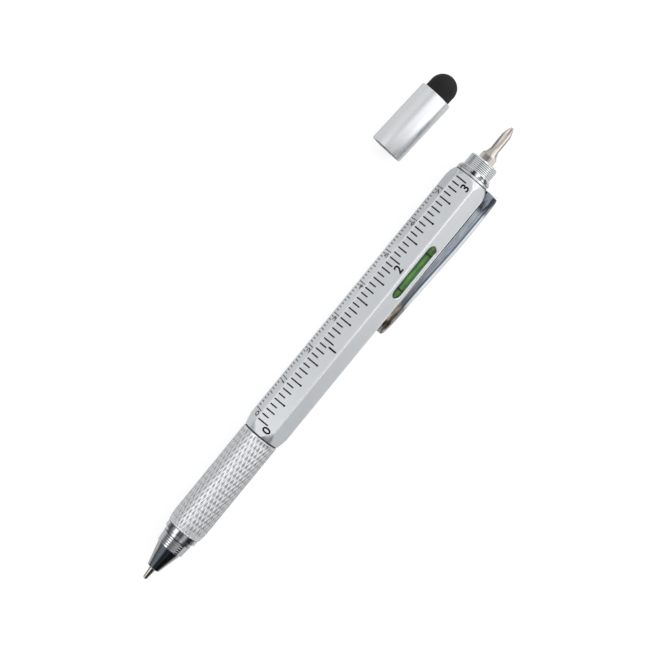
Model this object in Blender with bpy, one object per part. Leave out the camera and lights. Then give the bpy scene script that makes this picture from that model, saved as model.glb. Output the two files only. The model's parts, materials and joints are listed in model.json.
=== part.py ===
"""Multi tool pen, laid on a table with its cap off.

A twist ballpoint in a hexagonal ruler barrel, with a spirit level behind a slot, a spring clip,
a screwdriver bit in a threaded socket, and a cap that ends in a rubber stylus tip.

Metres, +Z up. +X runs along the pen from the writing tip to the bit, and the cap lies on the +Y side.
The origin is at the bottom centre of the box round the whole part.
"""

import math

import bmesh
import bpy
from mathutils import Vector

# Fits between pieces
SEAT_GAP = 0.0001
RUN_GAP = 0.0002
OVERRUN = 0.0010
WELD = 0.0000001

# Writing point and refill
TIP_REACH = 0.00356
BALL_RADIUS = 0.00042
BALL_SHOWING_SHARE = 0.75
POINT_RADIUS = 0.00058
POINT_LENGTH = 0.0060
POINT_BODY_LENGTH = 0.0080
POINT_SPIGOT_LENGTH = 0.0030
INK_HOLE_RADIUS = 0.00022
REFILL_LENGTH = 0.0670
REFILL_RADIUS = 0.001175
REFILL_WALL = 0.0003
REFILL_PLUG_LENGTH = 0.0025

# Nose cone
NOSE_CONE_LENGTH = 0.0065
NOSE_BAND_LENGTH = 0.0031
NOSE_NECK_LENGTH = 0.0010
NOSE_RING_LENGTH = 0.00145
NOSE_END_RADIUS = 0.00175
NOSE_END_ROUND = 0.0002
NOSE_CONE_RADIUS = 0.00335
NOSE_BAND_ROUND = 0.0002
NOSE_BAND_FRONT_RADIUS = 0.00365
NOSE_BAND_REAR_RADIUS = 0.00395
NOSE_NECK_RADIUS = 0.00385
NOSE_RING_FRONT_RADIUS = 0.00417
NOSE_RING_REAR_RADIUS = 0.00436
NOSE_THROAT_LENGTH = 0.0035
NOSE_BORE_RADIUS = 0.0022
NOSE_SPIGOT_RADIUS = 0.0037
NOSE_SPIGOT_LENGTH = 0.0055

# Twist grip
GRIP_LENGTH = 0.0300
GRIP_RADIUS = 0.0050
GRIP_FRONT_RADIUS = 0.0046
GRIP_SHOULDER_LENGTH = 0.0037
GRIP_EDGE_ROUND = 0.00015
GRIP_BORE_RADIUS = 0.0030
GRIP_REAR_BORE_DEPTH = 0.0065

# Barrel
BARREL_ACROSS_FLATS = 0.0099
BARREL_EDGE_ROUND = 0.0004
BARREL_BORE_RADIUS = 0.0040
BARREL_FOOT_TAPER = 0.0032
BARREL_CROWN_LENGTH = 0.0042
BARREL_CROWN_RADIUS = 0.0047
CROWN_ARC_SHARE = 0.85

# Joint between grip and barrel
JOINT_WIDTH = 0.0004
JOINT_RING_RADIUS = 0.00475
BUSH_LENGTH = 0.0070

# Twist mechanism
TWIST_DEGREES = 180.0
POINT_TRAVEL = 0.0055
DRIVER_RADIUS = 0.0029
DRIVER_BORE_RADIUS = 0.00235
DRIVER_FLANGE_LENGTH = 0.0015
DRIVER_TAIL_LENGTH = 0.0045
SNAP_GROOVE_DEPTH = 0.00025
SNAP_RING_RADIUS = 0.0036
SNAP_RING_WIDTH = 0.0006
SNAP_RING_OPENING = 0.0030
CARRIER_LENGTH = 0.0130
CARRIER_SOCKET_DEPTH = 0.0080
CAM_PIN_RADIUS = 0.0005
CAM_PIN_SETBACK = 0.0027
CAM_SLEEVE_END = 0.0040
CAM_SLOT_STEPS = 20
MECHANISM_SPACE = 0.01128

# Spirit level
WINDOW_LENGTH = 0.0160
WINDOW_WIDTH = 0.0032
WINDOW_CHAMFER = 0.0002
WINDOW_FROM_TOP = 0.02663
LENS_RECESS = 0.00015
VIAL_OVERLAP = 0.0010
VIAL_RADIUS = 0.0022
VIAL_WALL = 0.0005
VIAL_PLUG_LENGTH = 0.0008
VIAL_HOLDER_END = 0.0008
BUBBLE_LENGTH = 0.0066
BUBBLE_WIDTH = 0.0026
BUBBLE_DEPTH = 0.0008

# Clip
CLIP_SHEET = 0.0005
CLIP_WIDTH = 0.0052
CLIP_LENGTH = 0.0434
CLIP_TOP_LIFT = 0.00835
CLIP_TOP_ROUND = 0.0005
CLIP_ARM_ROUND = 0.0014
CLIP_HEAD_LENGTH = 0.0046
CLIP_FOOT_LENGTH = 0.0036
CLIP_BARREL_GAP = 0.0003
CLIP_BEND_GAP = 0.0002
CLIP_BEND_RADIUS = 0.0007

# Collar, stud and bit socket
COLLAR_LENGTH = 0.0011
COLLAR_RADIUS = 0.0047
COLLAR_TOP_RADIUS = 0.00415
COLLAR_BEAD_SHARE = 0.9
STUD_LENGTH = 0.0035
STUD_RADIUS = 0.00395
STUD_CHAMFER = 0.00035
SOCKET_FLOOR = 0.0008
MAGNET_RADIUS = 0.0018
MAGNET_LENGTH = 0.0012

# Screwdriver bit
BIT_REACH = 0.0107
BIT_ACROSS_FLATS = 0.0040
BIT_HEX_REACH = 0.00155
BIT_TAPER_LENGTH = 0.0021
BIT_FLARE_SHARES = (0.4, 0.38)
BIT_SHAFT_RADIUS = 0.00118
BIT_POINT_RADIUS = 0.00122
BIT_POINT_LENGTH = 0.0026
BIT_POINT_END_RADIUS = 0.00025
BIT_TURN_DEGREES = -13.5
FLUTE_LENGTH = 0.0066
FLUTE_TIP_DEPTH = 0.0002
BLADE_THICKNESS = 0.0006
BLADE_LENGTH = 0.0042

# Cap with stylus tip
CAP_LENGTH = 0.0182
CAP_RADIUS = 0.00445
CAP_EDGE_ROUND = 0.0004
CAP_THREAD_DEPTH = 0.0042
CAP_BORE_RADIUS = 0.0036
CAP_BORE_DEPTH = 0.0150
CAP_WEB = 0.0014
STYLUS_REACH = 0.0058
STYLUS_RADIUS = 0.0036
STYLUS_WALL = 0.0008
STYLUS_STEM_RADIUS = 0.0014
STYLUS_HEAD_RADIUS = 0.0025
STYLUS_HEAD_LENGTH = 0.0010
STYLUS_FOOT_RADIUS = 0.0030

# Where the cap lies, from the writing tip and the pen's axis
CAP_AHEAD = 0.11991
CAP_ASIDE = 0.0208
CAP_YAW_DEGREES = -3.75

# Numbers of sides of round pieces
SIDES_FINE = 48
SIDES_PLAIN = 32
SIDES_SMALL = 20
ARC_STEPS = 4
SHARP_EDGE = math.radians(28.0)

# Faces of the barrel, as turns about its axis from the inch face towards the clip
LEVEL_FACE = math.radians(60.0)
CLIP_FACE = math.radians(120.0)

# Stations along the pen, worked out from the lengths above
BAND_X = TIP_REACH + NOSE_CONE_LENGTH
NECK_X = BAND_X + NOSE_BAND_LENGTH
RING_X = NECK_X + NOSE_NECK_LENGTH
RING_END_X = RING_X + NOSE_RING_LENGTH
GRIP_X = RING_END_X + SEAT_GAP
GRIP_END_X = GRIP_X + GRIP_LENGTH
BARREL_X = GRIP_END_X + JOINT_WIDTH
CARRIER_X = REFILL_LENGTH - CARRIER_SOCKET_DEPTH
PIN_X = REFILL_LENGTH + CAM_PIN_SETBACK
DRIVER_X = GRIP_END_X - GRIP_REAR_BORE_DEPTH + SEAT_GAP
DRIVER_END_X = PIN_X + POINT_TRAVEL + DRIVER_TAIL_LENGTH
SNAP_X = BARREL_X + BUSH_LENGTH + RUN_GAP
HOLDER_X = DRIVER_END_X + MECHANISM_SPACE
VIAL_X = HOLDER_X + VIAL_HOLDER_END + SEAT_GAP
VIAL_LENGTH = WINDOW_LENGTH + 2 * VIAL_OVERLAP
WINDOW_X = VIAL_X + VIAL_LENGTH / 2
HOLDER_END_X = VIAL_X + VIAL_LENGTH + SEAT_GAP + VIAL_HOLDER_END
BARREL_TOP_X = WINDOW_X + WINDOW_FROM_TOP
CLIP_PLATE_X = BARREL_TOP_X + SEAT_GAP
COLLAR_X = CLIP_PLATE_X + CLIP_SHEET + SEAT_GAP
STUD_X = COLLAR_X + COLLAR_LENGTH
STUD_END_X = STUD_X + STUD_LENGTH
SOCKET_X = HOLDER_END_X + RUN_GAP
MAGNET_X = SOCKET_X + SOCKET_FLOOR + SEAT_GAP
BIT_X = MAGNET_X + MAGNET_LENGTH + SEAT_GAP
BIT_END_X = STUD_END_X + BIT_REACH

# Radii that follow from a neighbour
FLAT_RADIUS = BARREL_ACROSS_FLATS / 2
CORNER_RADIUS = FLAT_RADIUS / math.cos(math.pi / 6)
BARREL_FIT_RADIUS = BARREL_BORE_RADIUS - SEAT_GAP
REFILL_BORE_RADIUS = REFILL_RADIUS - REFILL_WALL
DRIVER_RUN_RADIUS = DRIVER_RADIUS + RUN_GAP
CARRIER_RADIUS = DRIVER_BORE_RADIUS - RUN_GAP
BIT_FLAT_RADIUS = BIT_ACROSS_FLATS / 2
VIAL_OFFSET = BARREL_BORE_RADIUS - VIAL_RADIUS - SEAT_GAP
SLOT_HALF_WIDTH = CAM_PIN_RADIUS + RUN_GAP

# Rounding of the bit's point: share of the point's length, and radius as a share of the way from
# its end to its full radius
BIT_POINT_SHARES = ((0.0, 1.0), (0.30, 0.87), (0.58, 0.61), (0.82, 0.31))

# Shape of the clip along its length: share of the length from the top, lift of the web as a share
# of the lift at the top, half width as a share of half the width, and depth of the open wall
# as a share of the room under the web
CLIP_STATION_SHARES = (
    (0.000, 0.958, 0.97, 1.00),
    (0.018, 0.988, 1.00, 1.00),
    (0.101, 1.000, 1.00, 0.98),
    (0.115, 1.045, 1.00, 0.95),
    (0.200, 1.055, 1.00, 0.94),
    (0.340, 1.053, 1.00, 0.94),
    (0.560, 1.035, 0.99, 0.94),
    (0.670, 1.028, 0.97, 0.94),
    (0.800, 1.014, 0.94, 0.95),
    (0.890, 0.998, 0.90, 0.96),
    (0.925, 0.990, 0.86, 0.98),
    (0.962, 0.974, 0.78, 1.00),
    (0.988, 0.944, 0.64, 0.94),
    (1.000, 0.899, 0.46, 0.80),
)

# Colour, metallic value and roughness of each finish
FINISHES = {
    "anodised_aluminium": ((0.60, 0.61, 0.62), 1.0, 0.38),
    "knurled_aluminium": ((0.66, 0.67, 0.68), 1.0, 0.34),
    "satin_silver": ((0.74, 0.75, 0.77), 1.0, 0.26),
    "chrome": ((0.82, 0.83, 0.85), 1.0, 0.06),
    "nickel": ((0.66, 0.61, 0.56), 1.0, 0.22),
    "brass": ((0.72, 0.55, 0.28), 1.0, 0.30),
    "steel": ((0.55, 0.55, 0.56), 1.0, 0.30),
    "black_plastic": ((0.02, 0.02, 0.02), 0.0, 0.45),
    "white_plastic": ((0.80, 0.82, 0.76), 0.0, 0.40),
    "clear_acrylic": ((0.75, 0.85, 0.70), 0.0, 0.05),
    "green_liquid": ((0.10, 0.36, 0.06), 0.0, 0.08),
    "black_rubber": ((0.015, 0.015, 0.017), 0.0, 0.75),
}


# Helpers

def clear_scene():
    for item in list(bpy.data.objects):
        bpy.data.objects.remove(item, do_unlink=True)


def finish(name):
    """The material of a finish, made the first time it is asked for."""
    material = bpy.data.materials.get(name)
    if material is None:
        colour, metallic, roughness = FINISHES[name]
        material = bpy.data.materials.new(name)
        material.use_nodes = True
        shader = material.node_tree.nodes["Principled BSDF"]
        shader.inputs["Base Color"].default_value = (*colour, 1.0)
        shader.inputs["Metallic"].default_value = metallic
        shader.inputs["Roughness"].default_value = roughness
    return material


def axis_empty(name, parent=None, turn=0.0):
    """An empty that carries pieces, turned about the X axis of its parent."""
    empty = bpy.data.objects.new(name, None)
    bpy.context.collection.objects.link(empty)
    empty.parent = parent
    empty.rotation_euler.x = turn
    return empty


def add_piece(name, shape, surface, parent):
    """Turn a bmesh into an object with its material, shaded smooth except at sharp edges."""
    bmesh.ops.remove_doubles(shape, verts=shape.verts, dist=WELD)
    bmesh.ops.recalc_face_normals(shape, faces=shape.faces)
    mesh = bpy.data.meshes.new(name)
    shape.to_mesh(mesh)
    shape.free()
    mesh.shade_smooth()
    mesh.set_sharp_from_angle(angle=SHARP_EDGE)
    mesh.materials.append(finish(surface))
    piece = bpy.data.objects.new(name, mesh)
    bpy.context.collection.objects.link(piece)
    piece.parent = parent
    return piece


def cut(piece, shape, name, parent, operation="DIFFERENCE"):
    """Cut a shape out of a piece, or keep only what lies in both."""
    cutter = add_piece(piece.name + "_" + name, shape, "steel", parent)
    cutter.hide_render = True
    cutter.display_type = "WIRE"
    modifier = piece.modifiers.new(name, "BOOLEAN")
    modifier.object = cutter
    modifier.operation = operation
    modifier.solver = "EXACT"
    return cutter


def turned(outline, sides):
    """Spin a closed outline of (place along X, radius) points about the X axis."""
    shape = bmesh.new()
    corners = [shape.verts.new((along, 0.0, radius)) for along, radius in outline]
    ring = corners + corners[:1]
    edges = [shape.edges.new(pair) for pair in zip(ring, ring[1:]) if pair[0].co.z + pair[1].co.z > 0]
    bmesh.ops.spin(
        shape, geom=corners + edges, cent=(0, 0, 0), axis=(1, 0, 0),
        angle=math.tau, steps=sides, use_merge=True,
    )
    bmesh.ops.remove_doubles(shape, verts=shape.verts, dist=WELD)
    return shape


def tube(start, end, outer, inner, sides):
    return turned([(start, inner), (end, inner), (end, outer), (start, outer)], sides)


def rod(start, end, radius, sides):
    return turned([(start, 0.0), (end, 0.0), (end, radius), (start, radius)], sides)


def loft(sections):
    """Join closed sections of equal point counts, one after the other, and close both ends."""
    shape = bmesh.new()
    rings = [[shape.verts.new(point) for point in section] for section in sections]
    for first, second in zip(rings, rings[1:]):
        for index in range(len(first)):
            after = (index + 1) % len(first)
            shape.faces.new((first[index], first[after], second[after], second[index]))
    shape.faces.new(rings[0])
    shape.faces.new(rings[-1])
    return shape


def hexagon(flat_radius, edge_round, steps):
    """Points (y, z) of a hexagon with a flat at the top and rounded corners."""
    centre_radius = (flat_radius - edge_round) / math.cos(math.pi / 6)
    points = []
    for corner in range(6):
        heading = math.pi / 6 + corner * math.pi / 3
        for step in range(steps + 1):
            angle = heading + (step / steps - 0.5) * math.pi / 3
            points.append((
                centre_radius * math.sin(heading) + edge_round * math.sin(angle),
                centre_radius * math.cos(heading) + edge_round * math.cos(angle),
            ))
    return points


def prism(section, start, end):
    """A section of (y, z) points drawn out along X."""
    return loft([[(along, y, z) for y, z in section] for along in (start, end)])


def slot_section(centre, straight, half_width, height):
    """Outline of a slot with round ends, long along X, at a height."""
    points = []
    for side in (1, -1):
        for step in range(2 * ARC_STEPS + 1):
            angle = side * math.pi / 2 - math.pi * step / (2 * ARC_STEPS)
            points.append((
                centre + side * straight + half_width * math.cos(angle),
                half_width * math.sin(angle),
                height,
            ))
    return points


def slot_cutter(centre, half_length, half_width, bottom, top):
    """A slot with round ends, drawn out along Z."""
    straight = half_length - half_width
    return loft([slot_section(centre, straight, half_width, height) for height in (bottom, top)])


def box(low, high):
    """A plain block between two corners."""
    section = [(low[1], low[2]), (high[1], low[2]), (high[1], high[2]), (low[1], high[2])]
    return prism(section, low[0], high[0])


def turned_shape(shape, turn):
    """Turn a shape about the X axis, towards the clip for a positive turn."""
    sine = math.sin(turn)
    cosine = math.cos(turn)
    for vert in shape.verts:
        x, y, z = vert.co
        vert.co = (x, y * cosine - z * sine, y * sine + z * cosine)
    return shape


def arc(centre, radius, start, end, steps):
    """Points on an arc about a centre, with angles in degrees from the +X direction."""
    points = []
    for step in range(steps + 1):
        angle = math.radians(start + (end - start) * step / steps)
        points.append((centre[0] + radius * math.cos(angle), centre[1] + radius * math.sin(angle)))
    return points


# Refill, which slides along the pen

def make_refill_ball(parent):
    outline = arc((BALL_RADIUS, 0.0), BALL_RADIUS, 180, 0, 2 * ARC_STEPS)
    outline = [(along, max(radius, 0.0)) for along, radius in outline]
    outline[0] = (0.0, 0.0)
    outline[-1] = (2 * BALL_RADIUS, 0.0)
    return add_piece("refill_ball", turned(outline, SIDES_SMALL), "steel", parent)


def make_refill_tip(parent):
    cup_radius = BALL_RADIUS + SEAT_GAP / 2
    cup_front = BALL_RADIUS * BALL_SHOWING_SHARE
    cup_floor = 2 * BALL_RADIUS + SEAT_GAP / 2
    body_end = POINT_BODY_LENGTH
    spigot_radius = REFILL_BORE_RADIUS - SEAT_GAP
    outline = [
        (cup_front, cup_radius),
        (cup_floor, cup_radius),
        (cup_floor, INK_HOLE_RADIUS),
        (body_end + POINT_SPIGOT_LENGTH, INK_HOLE_RADIUS),
        (body_end + POINT_SPIGOT_LENGTH, spigot_radius),
        (body_end, spigot_radius),
        (body_end, REFILL_RADIUS),
        (POINT_LENGTH, REFILL_RADIUS),
        (cup_front + SEAT_GAP, POINT_RADIUS),
    ]
    return add_piece("refill_tip", turned(outline, SIDES_PLAIN), "nickel", parent)


def make_refill_tube(parent):
    start = POINT_BODY_LENGTH + SEAT_GAP
    shape = tube(start, REFILL_LENGTH, REFILL_RADIUS, REFILL_BORE_RADIUS, SIDES_SMALL)
    return add_piece("refill_tube", shape, "steel", parent)


def make_refill_plug(parent):
    end = REFILL_LENGTH - SEAT_GAP
    shape = tube(end - REFILL_PLUG_LENGTH, end, REFILL_BORE_RADIUS - SEAT_GAP, INK_HOLE_RADIUS, SIDES_SMALL)
    return add_piece("refill_plug", shape, "white_plastic", parent)


def make_refill_carrier(parent):
    socket_radius = REFILL_RADIUS + SEAT_GAP
    floor = REFILL_LENGTH + SEAT_GAP
    end = CARRIER_X + CARRIER_LENGTH
    outline = [
        (CARRIER_X, socket_radius),
        (floor, socket_radius),
        (floor, 0.0),
        (end, 0.0),
        (end, CARRIER_RADIUS),
        (CARRIER_X, CARRIER_RADIUS),
    ]
    carrier = add_piece("refill_carrier", turned(outline, SIDES_PLAIN), "black_plastic", parent)
    hole = cross_pin(CAM_PIN_RADIUS + SEAT_GAP, CARRIER_RADIUS + OVERRUN)
    cut(carrier, hole, "pin_hole", parent)
    return carrier


def cross_pin(radius, half_length):
    """A round pin across the pen's axis, at rest along Y."""
    shape = rod(-half_length, half_length, radius, SIDES_SMALL)
    for vert in shape.verts:
        along, y, z = vert.co
        vert.co = (PIN_X + y, along, z)
    return shape


def make_cam_pin(parent):
    shape = cross_pin(CAM_PIN_RADIUS, BARREL_BORE_RADIUS - RUN_GAP)
    return add_piece("cam_pin", shape, "steel", parent)


# Twist grip with its nose and driver tube

def nose_bore():
    """Inner outline of the nose, from its rear end to its mouth."""
    mouth_radius = REFILL_RADIUS + RUN_GAP
    end = GRIP_X + NOSE_SPIGOT_LENGTH
    return [
        (end, NOSE_BORE_RADIUS),
        (BAND_X, NOSE_BORE_RADIUS),
        (TIP_REACH + NOSE_THROAT_LENGTH, mouth_radius),
        (TIP_REACH, mouth_radius),
    ]


def make_nose_cone(parent):
    spigot_end = GRIP_X + NOSE_SPIGOT_LENGTH
    outline = nose_bore()
    outline += [
        (TIP_REACH, NOSE_END_RADIUS - NOSE_END_ROUND),
        (TIP_REACH + NOSE_END_ROUND, NOSE_END_RADIUS),
        (BAND_X, NOSE_CONE_RADIUS),
        (BAND_X + NOSE_BAND_ROUND, NOSE_BAND_FRONT_RADIUS),
        (NECK_X, NOSE_BAND_REAR_RADIUS),
        (NECK_X, NOSE_NECK_RADIUS),
        (RING_X, NOSE_NECK_RADIUS),
        (RING_X, NOSE_RING_FRONT_RADIUS),
        (RING_END_X, NOSE_RING_REAR_RADIUS),
        (RING_END_X, NOSE_SPIGOT_RADIUS),
        (spigot_end, NOSE_SPIGOT_RADIUS),
    ]
    return add_piece("nose_cone", turned(outline, SIDES_FINE), "chrome", parent)


def make_grip_tube(parent):
    front_bore = NOSE_SPIGOT_RADIUS + SEAT_GAP
    front_floor = GRIP_X + NOSE_SPIGOT_LENGTH + SEAT_GAP
    rear_floor = GRIP_END_X - GRIP_REAR_BORE_DEPTH
    rear_bore = BARREL_BORE_RADIUS
    outline = [
        (GRIP_END_X, rear_bore),
        (rear_floor, rear_bore),
        (rear_floor, GRIP_BORE_RADIUS),
        (front_floor, GRIP_BORE_RADIUS),
        (front_floor, front_bore),
        (GRIP_X, front_bore),
        (GRIP_X, GRIP_FRONT_RADIUS),
    ]
    for step in range(1, ARC_STEPS + 1):
        share = step / ARC_STEPS
        swell = math.sin(share * math.pi / 2)
        outline.append((
            GRIP_X + GRIP_SHOULDER_LENGTH * share,
            GRIP_FRONT_RADIUS + (GRIP_RADIUS - GRIP_FRONT_RADIUS) * swell,
        ))
    outline += [
        (GRIP_END_X - GRIP_EDGE_ROUND, GRIP_RADIUS),
        (GRIP_END_X, GRIP_RADIUS - GRIP_EDGE_ROUND),
    ]
    return add_piece("grip_tube", turned(outline, SIDES_FINE), "knurled_aluminium", parent)


def make_driver_tube(parent):
    flange_radius = BARREL_BORE_RADIUS - SEAT_GAP
    groove_radius = DRIVER_RADIUS - SNAP_GROOVE_DEPTH
    groove_end = SNAP_X + SNAP_RING_WIDTH + 2 * SEAT_GAP
    outline = [
        (DRIVER_X, DRIVER_BORE_RADIUS),
        (DRIVER_END_X, DRIVER_BORE_RADIUS),
        (DRIVER_END_X, DRIVER_RADIUS),
        (groove_end, DRIVER_RADIUS),
        (groove_end, groove_radius),
        (SNAP_X, groove_radius),
        (SNAP_X, DRIVER_RADIUS),
        (DRIVER_X + DRIVER_FLANGE_LENGTH, DRIVER_RADIUS),
        (DRIVER_X + DRIVER_FLANGE_LENGTH, flange_radius),
        (DRIVER_X, flange_radius),
    ]
    driver = add_piece("driver_tube", turned(outline, SIDES_PLAIN), "brass", parent)
    slot = slot_cutter(
        PIN_X + POINT_TRAVEL / 2, POINT_TRAVEL / 2 + SLOT_HALF_WIDTH, SLOT_HALF_WIDTH,
        -DRIVER_RADIUS - OVERRUN, DRIVER_RADIUS + OVERRUN,
    )
    cut(driver, turned_shape(slot, math.pi / 2), "slot", parent)
    return driver


def make_snap_ring(parent):
    inner = DRIVER_RADIUS - SNAP_GROOVE_DEPTH + SEAT_GAP
    start = SNAP_X + SEAT_GAP
    end = start + SNAP_RING_WIDTH
    ring = add_piece("snap_ring", tube(start, end, SNAP_RING_RADIUS, inner, SIDES_PLAIN), "steel", parent)
    half = SNAP_RING_OPENING / 2
    reach = SNAP_RING_RADIUS + OVERRUN
    gap = box((start - OVERRUN, -half, 0.0), (end + OVERRUN, half, reach))
    cut(ring, gap, "opening", parent)
    return ring


# Barrel with what is fixed in it

def barrel_envelope():
    """Turned shape that rounds the hexagon off at both ends."""
    full = CORNER_RADIUS + OVERRUN
    foot_slope = (CORNER_RADIUS - GRIP_RADIUS) / BARREL_FOOT_TAPER
    foot_length = (full - GRIP_RADIUS) / foot_slope
    crown_drop = CORNER_RADIUS - BARREL_CROWN_RADIUS
    crown_x = BARREL_TOP_X - BARREL_CROWN_LENGTH
    outline = [
        (BARREL_X, 0.0),
        (BARREL_X, GRIP_RADIUS),
        (BARREL_X + foot_length, full),
        (crown_x, full),
    ]
    steps = 2 * ARC_STEPS
    full_depth = 1 - math.sqrt(1 - CROWN_ARC_SHARE ** 2)
    for step in range(steps + 1):
        share = step / steps
        depth = (1 - math.sqrt(1 - (share * CROWN_ARC_SHARE) ** 2)) / full_depth
        outline.append((crown_x + BARREL_CROWN_LENGTH * share, CORNER_RADIUS - crown_drop * depth))
    outline.append((BARREL_TOP_X, 0.0))
    return turned(outline, SIDES_FINE)


def make_barrel_shell(parent):
    section = hexagon(FLAT_RADIUS, BARREL_EDGE_ROUND, ARC_STEPS)
    shell = add_piece("barrel_shell", prism(section, BARREL_X, BARREL_TOP_X), "anodised_aluminium", parent)
    cut(shell, barrel_envelope(), "turned_ends", parent, "INTERSECT")
    bore = rod(BARREL_X - OVERRUN, BARREL_TOP_X + OVERRUN, BARREL_BORE_RADIUS, SIDES_FINE)
    cut(shell, bore, "bore", parent)
    half_width = WINDOW_WIDTH / 2
    straight = WINDOW_LENGTH / 2 - half_width
    levels = (
        (BARREL_BORE_RADIUS / 2, half_width),
        (FLAT_RADIUS - WINDOW_CHAMFER, half_width),
        (FLAT_RADIUS + OVERRUN, half_width + WINDOW_CHAMFER + OVERRUN),
    )
    window = loft([slot_section(WINDOW_X, straight, half, height) for height, half in levels])
    cut(shell, turned_shape(window, LEVEL_FACE), "window", parent)
    return shell


def make_barrel_bush(parent):
    """Plastic bearing of the driver tube, whose rim shows as a dark line at the joint."""
    rim_front = GRIP_END_X + SEAT_GAP
    rim_rear = BARREL_X - SEAT_GAP
    outline = [
        (rim_front, DRIVER_RUN_RADIUS),
        (BARREL_X + BUSH_LENGTH, DRIVER_RUN_RADIUS),
        (BARREL_X + BUSH_LENGTH, BARREL_FIT_RADIUS),
        (rim_rear, BARREL_FIT_RADIUS),
        (rim_rear, JOINT_RING_RADIUS),
        (rim_front, JOINT_RING_RADIUS),
    ]
    return add_piece("barrel_bush", turned(outline, SIDES_PLAIN), "black_plastic", parent)


def helical_slot(first_turn):
    """A radial blade swept along the helix that the cam pin follows."""
    inner = DRIVER_RADIUS
    outer = BARREL_BORE_RADIUS
    middle = (inner + outer) / 2
    twist = math.radians(TWIST_DEGREES)
    lead = POINT_TRAVEL / twist
    half_width = SLOT_HALF_WIDTH / math.cos(math.atan(lead / middle))
    margin = SLOT_HALF_WIDTH / inner
    sections = []
    for step in range(CAM_SLOT_STEPS + 1):
        turn = -margin + (twist + 2 * margin) * step / CAM_SLOT_STEPS
        along = PIN_X + lead * turn
        y = math.cos(first_turn + turn)
        z = math.sin(first_turn + turn)
        sections.append([
            (along - half_width, inner * y, inner * z),
            (along + half_width, inner * y, inner * z),
            (along + half_width, outer * y, outer * z),
            (along - half_width, outer * y, outer * z),
        ])
    return loft(sections)


def make_cam_sleeve(parent):
    """Sleeve with two helical slots, which turn the grip's twist into the point's travel."""
    start = PIN_X - CAM_SLEEVE_END
    end = PIN_X + POINT_TRAVEL + CAM_SLEEVE_END
    shape = tube(start, end, BARREL_FIT_RADIUS, DRIVER_RUN_RADIUS, SIDES_PLAIN)
    sleeve = add_piece("cam_sleeve", shape, "brass", parent)
    for index, first_turn in enumerate((0.0, math.pi)):
        cut(sleeve, helical_slot(first_turn), "helix_" + str(index), parent)
    return sleeve


def make_vial_holder(parent):
    """Plastic seat that fills the bore behind the level, with a trough for the vial."""
    block = rod(HOLDER_X, HOLDER_END_X, BARREL_FIT_RADIUS, SIDES_PLAIN)
    holder = add_piece("vial_holder", block, "white_plastic", parent)
    trough = rod(VIAL_X - SEAT_GAP, VIAL_X + VIAL_LENGTH + SEAT_GAP, VIAL_RADIUS + SEAT_GAP, SIDES_PLAIN)
    for vert in trough.verts:
        if vert.co.z > 0:
            vert.co.z += VIAL_OFFSET + BARREL_BORE_RADIUS
        else:
            vert.co.z += VIAL_OFFSET
    cut(holder, turned_shape(trough, LEVEL_FACE), "trough", parent)
    return holder


def make_vial_tube(parent):
    inner = VIAL_RADIUS - VIAL_WALL
    end = VIAL_X + VIAL_LENGTH
    outline = [
        (VIAL_X, 0.0),
        (VIAL_X + VIAL_WALL, 0.0),
        (VIAL_X + VIAL_WALL, inner),
        (end, inner),
        (end, VIAL_RADIUS),
        (VIAL_X, VIAL_RADIUS),
    ]
    return add_piece("vial_tube", turned(outline, SIDES_PLAIN), "clear_acrylic", parent)


def make_vial_plug(parent):
    end = VIAL_X + VIAL_LENGTH
    shape = rod(end - VIAL_PLUG_LENGTH, end, VIAL_RADIUS - VIAL_WALL - SEAT_GAP, SIDES_PLAIN)
    return add_piece("vial_plug", shape, "clear_acrylic", parent)


def make_vial_liquid(parent, up_turn):
    """Liquid of the level, dented at its top by the bubble."""
    radius = VIAL_RADIUS - VIAL_WALL - SEAT_GAP
    start = VIAL_X + VIAL_WALL + SEAT_GAP
    end = VIAL_X + VIAL_LENGTH - VIAL_PLUG_LENGTH - SEAT_GAP
    liquid = add_piece("vial_liquid", rod(start, end, radius, SIDES_PLAIN), "green_liquid", parent)
    bubble = bmesh.new()
    bmesh.ops.create_uvsphere(bubble, u_segments=SIDES_SMALL, v_segments=3 * ARC_STEPS, radius=1.0)
    for vert in bubble.verts:
        x, y, z = vert.co
        vert.co = (
            WINDOW_X + x * BUBBLE_LENGTH / 2,
            y * BUBBLE_WIDTH / 2,
            radius + z * BUBBLE_DEPTH,
        )
    cut(liquid, turned_shape(bubble, up_turn), "bubble", parent)
    return liquid


def make_level_lens(parent):
    """Clear window that fills the slot over the vial, a little below the barrel's face."""
    bottom = BARREL_BORE_RADIUS
    top = FLAT_RADIUS - LENS_RECESS
    half_length = WINDOW_LENGTH / 2 - SEAT_GAP
    shape = slot_cutter(WINDOW_X, half_length, WINDOW_WIDTH / 2 - SEAT_GAP, bottom, top)
    return add_piece("level_lens", turned_shape(shape, LEVEL_FACE), "clear_acrylic", parent)


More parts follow.
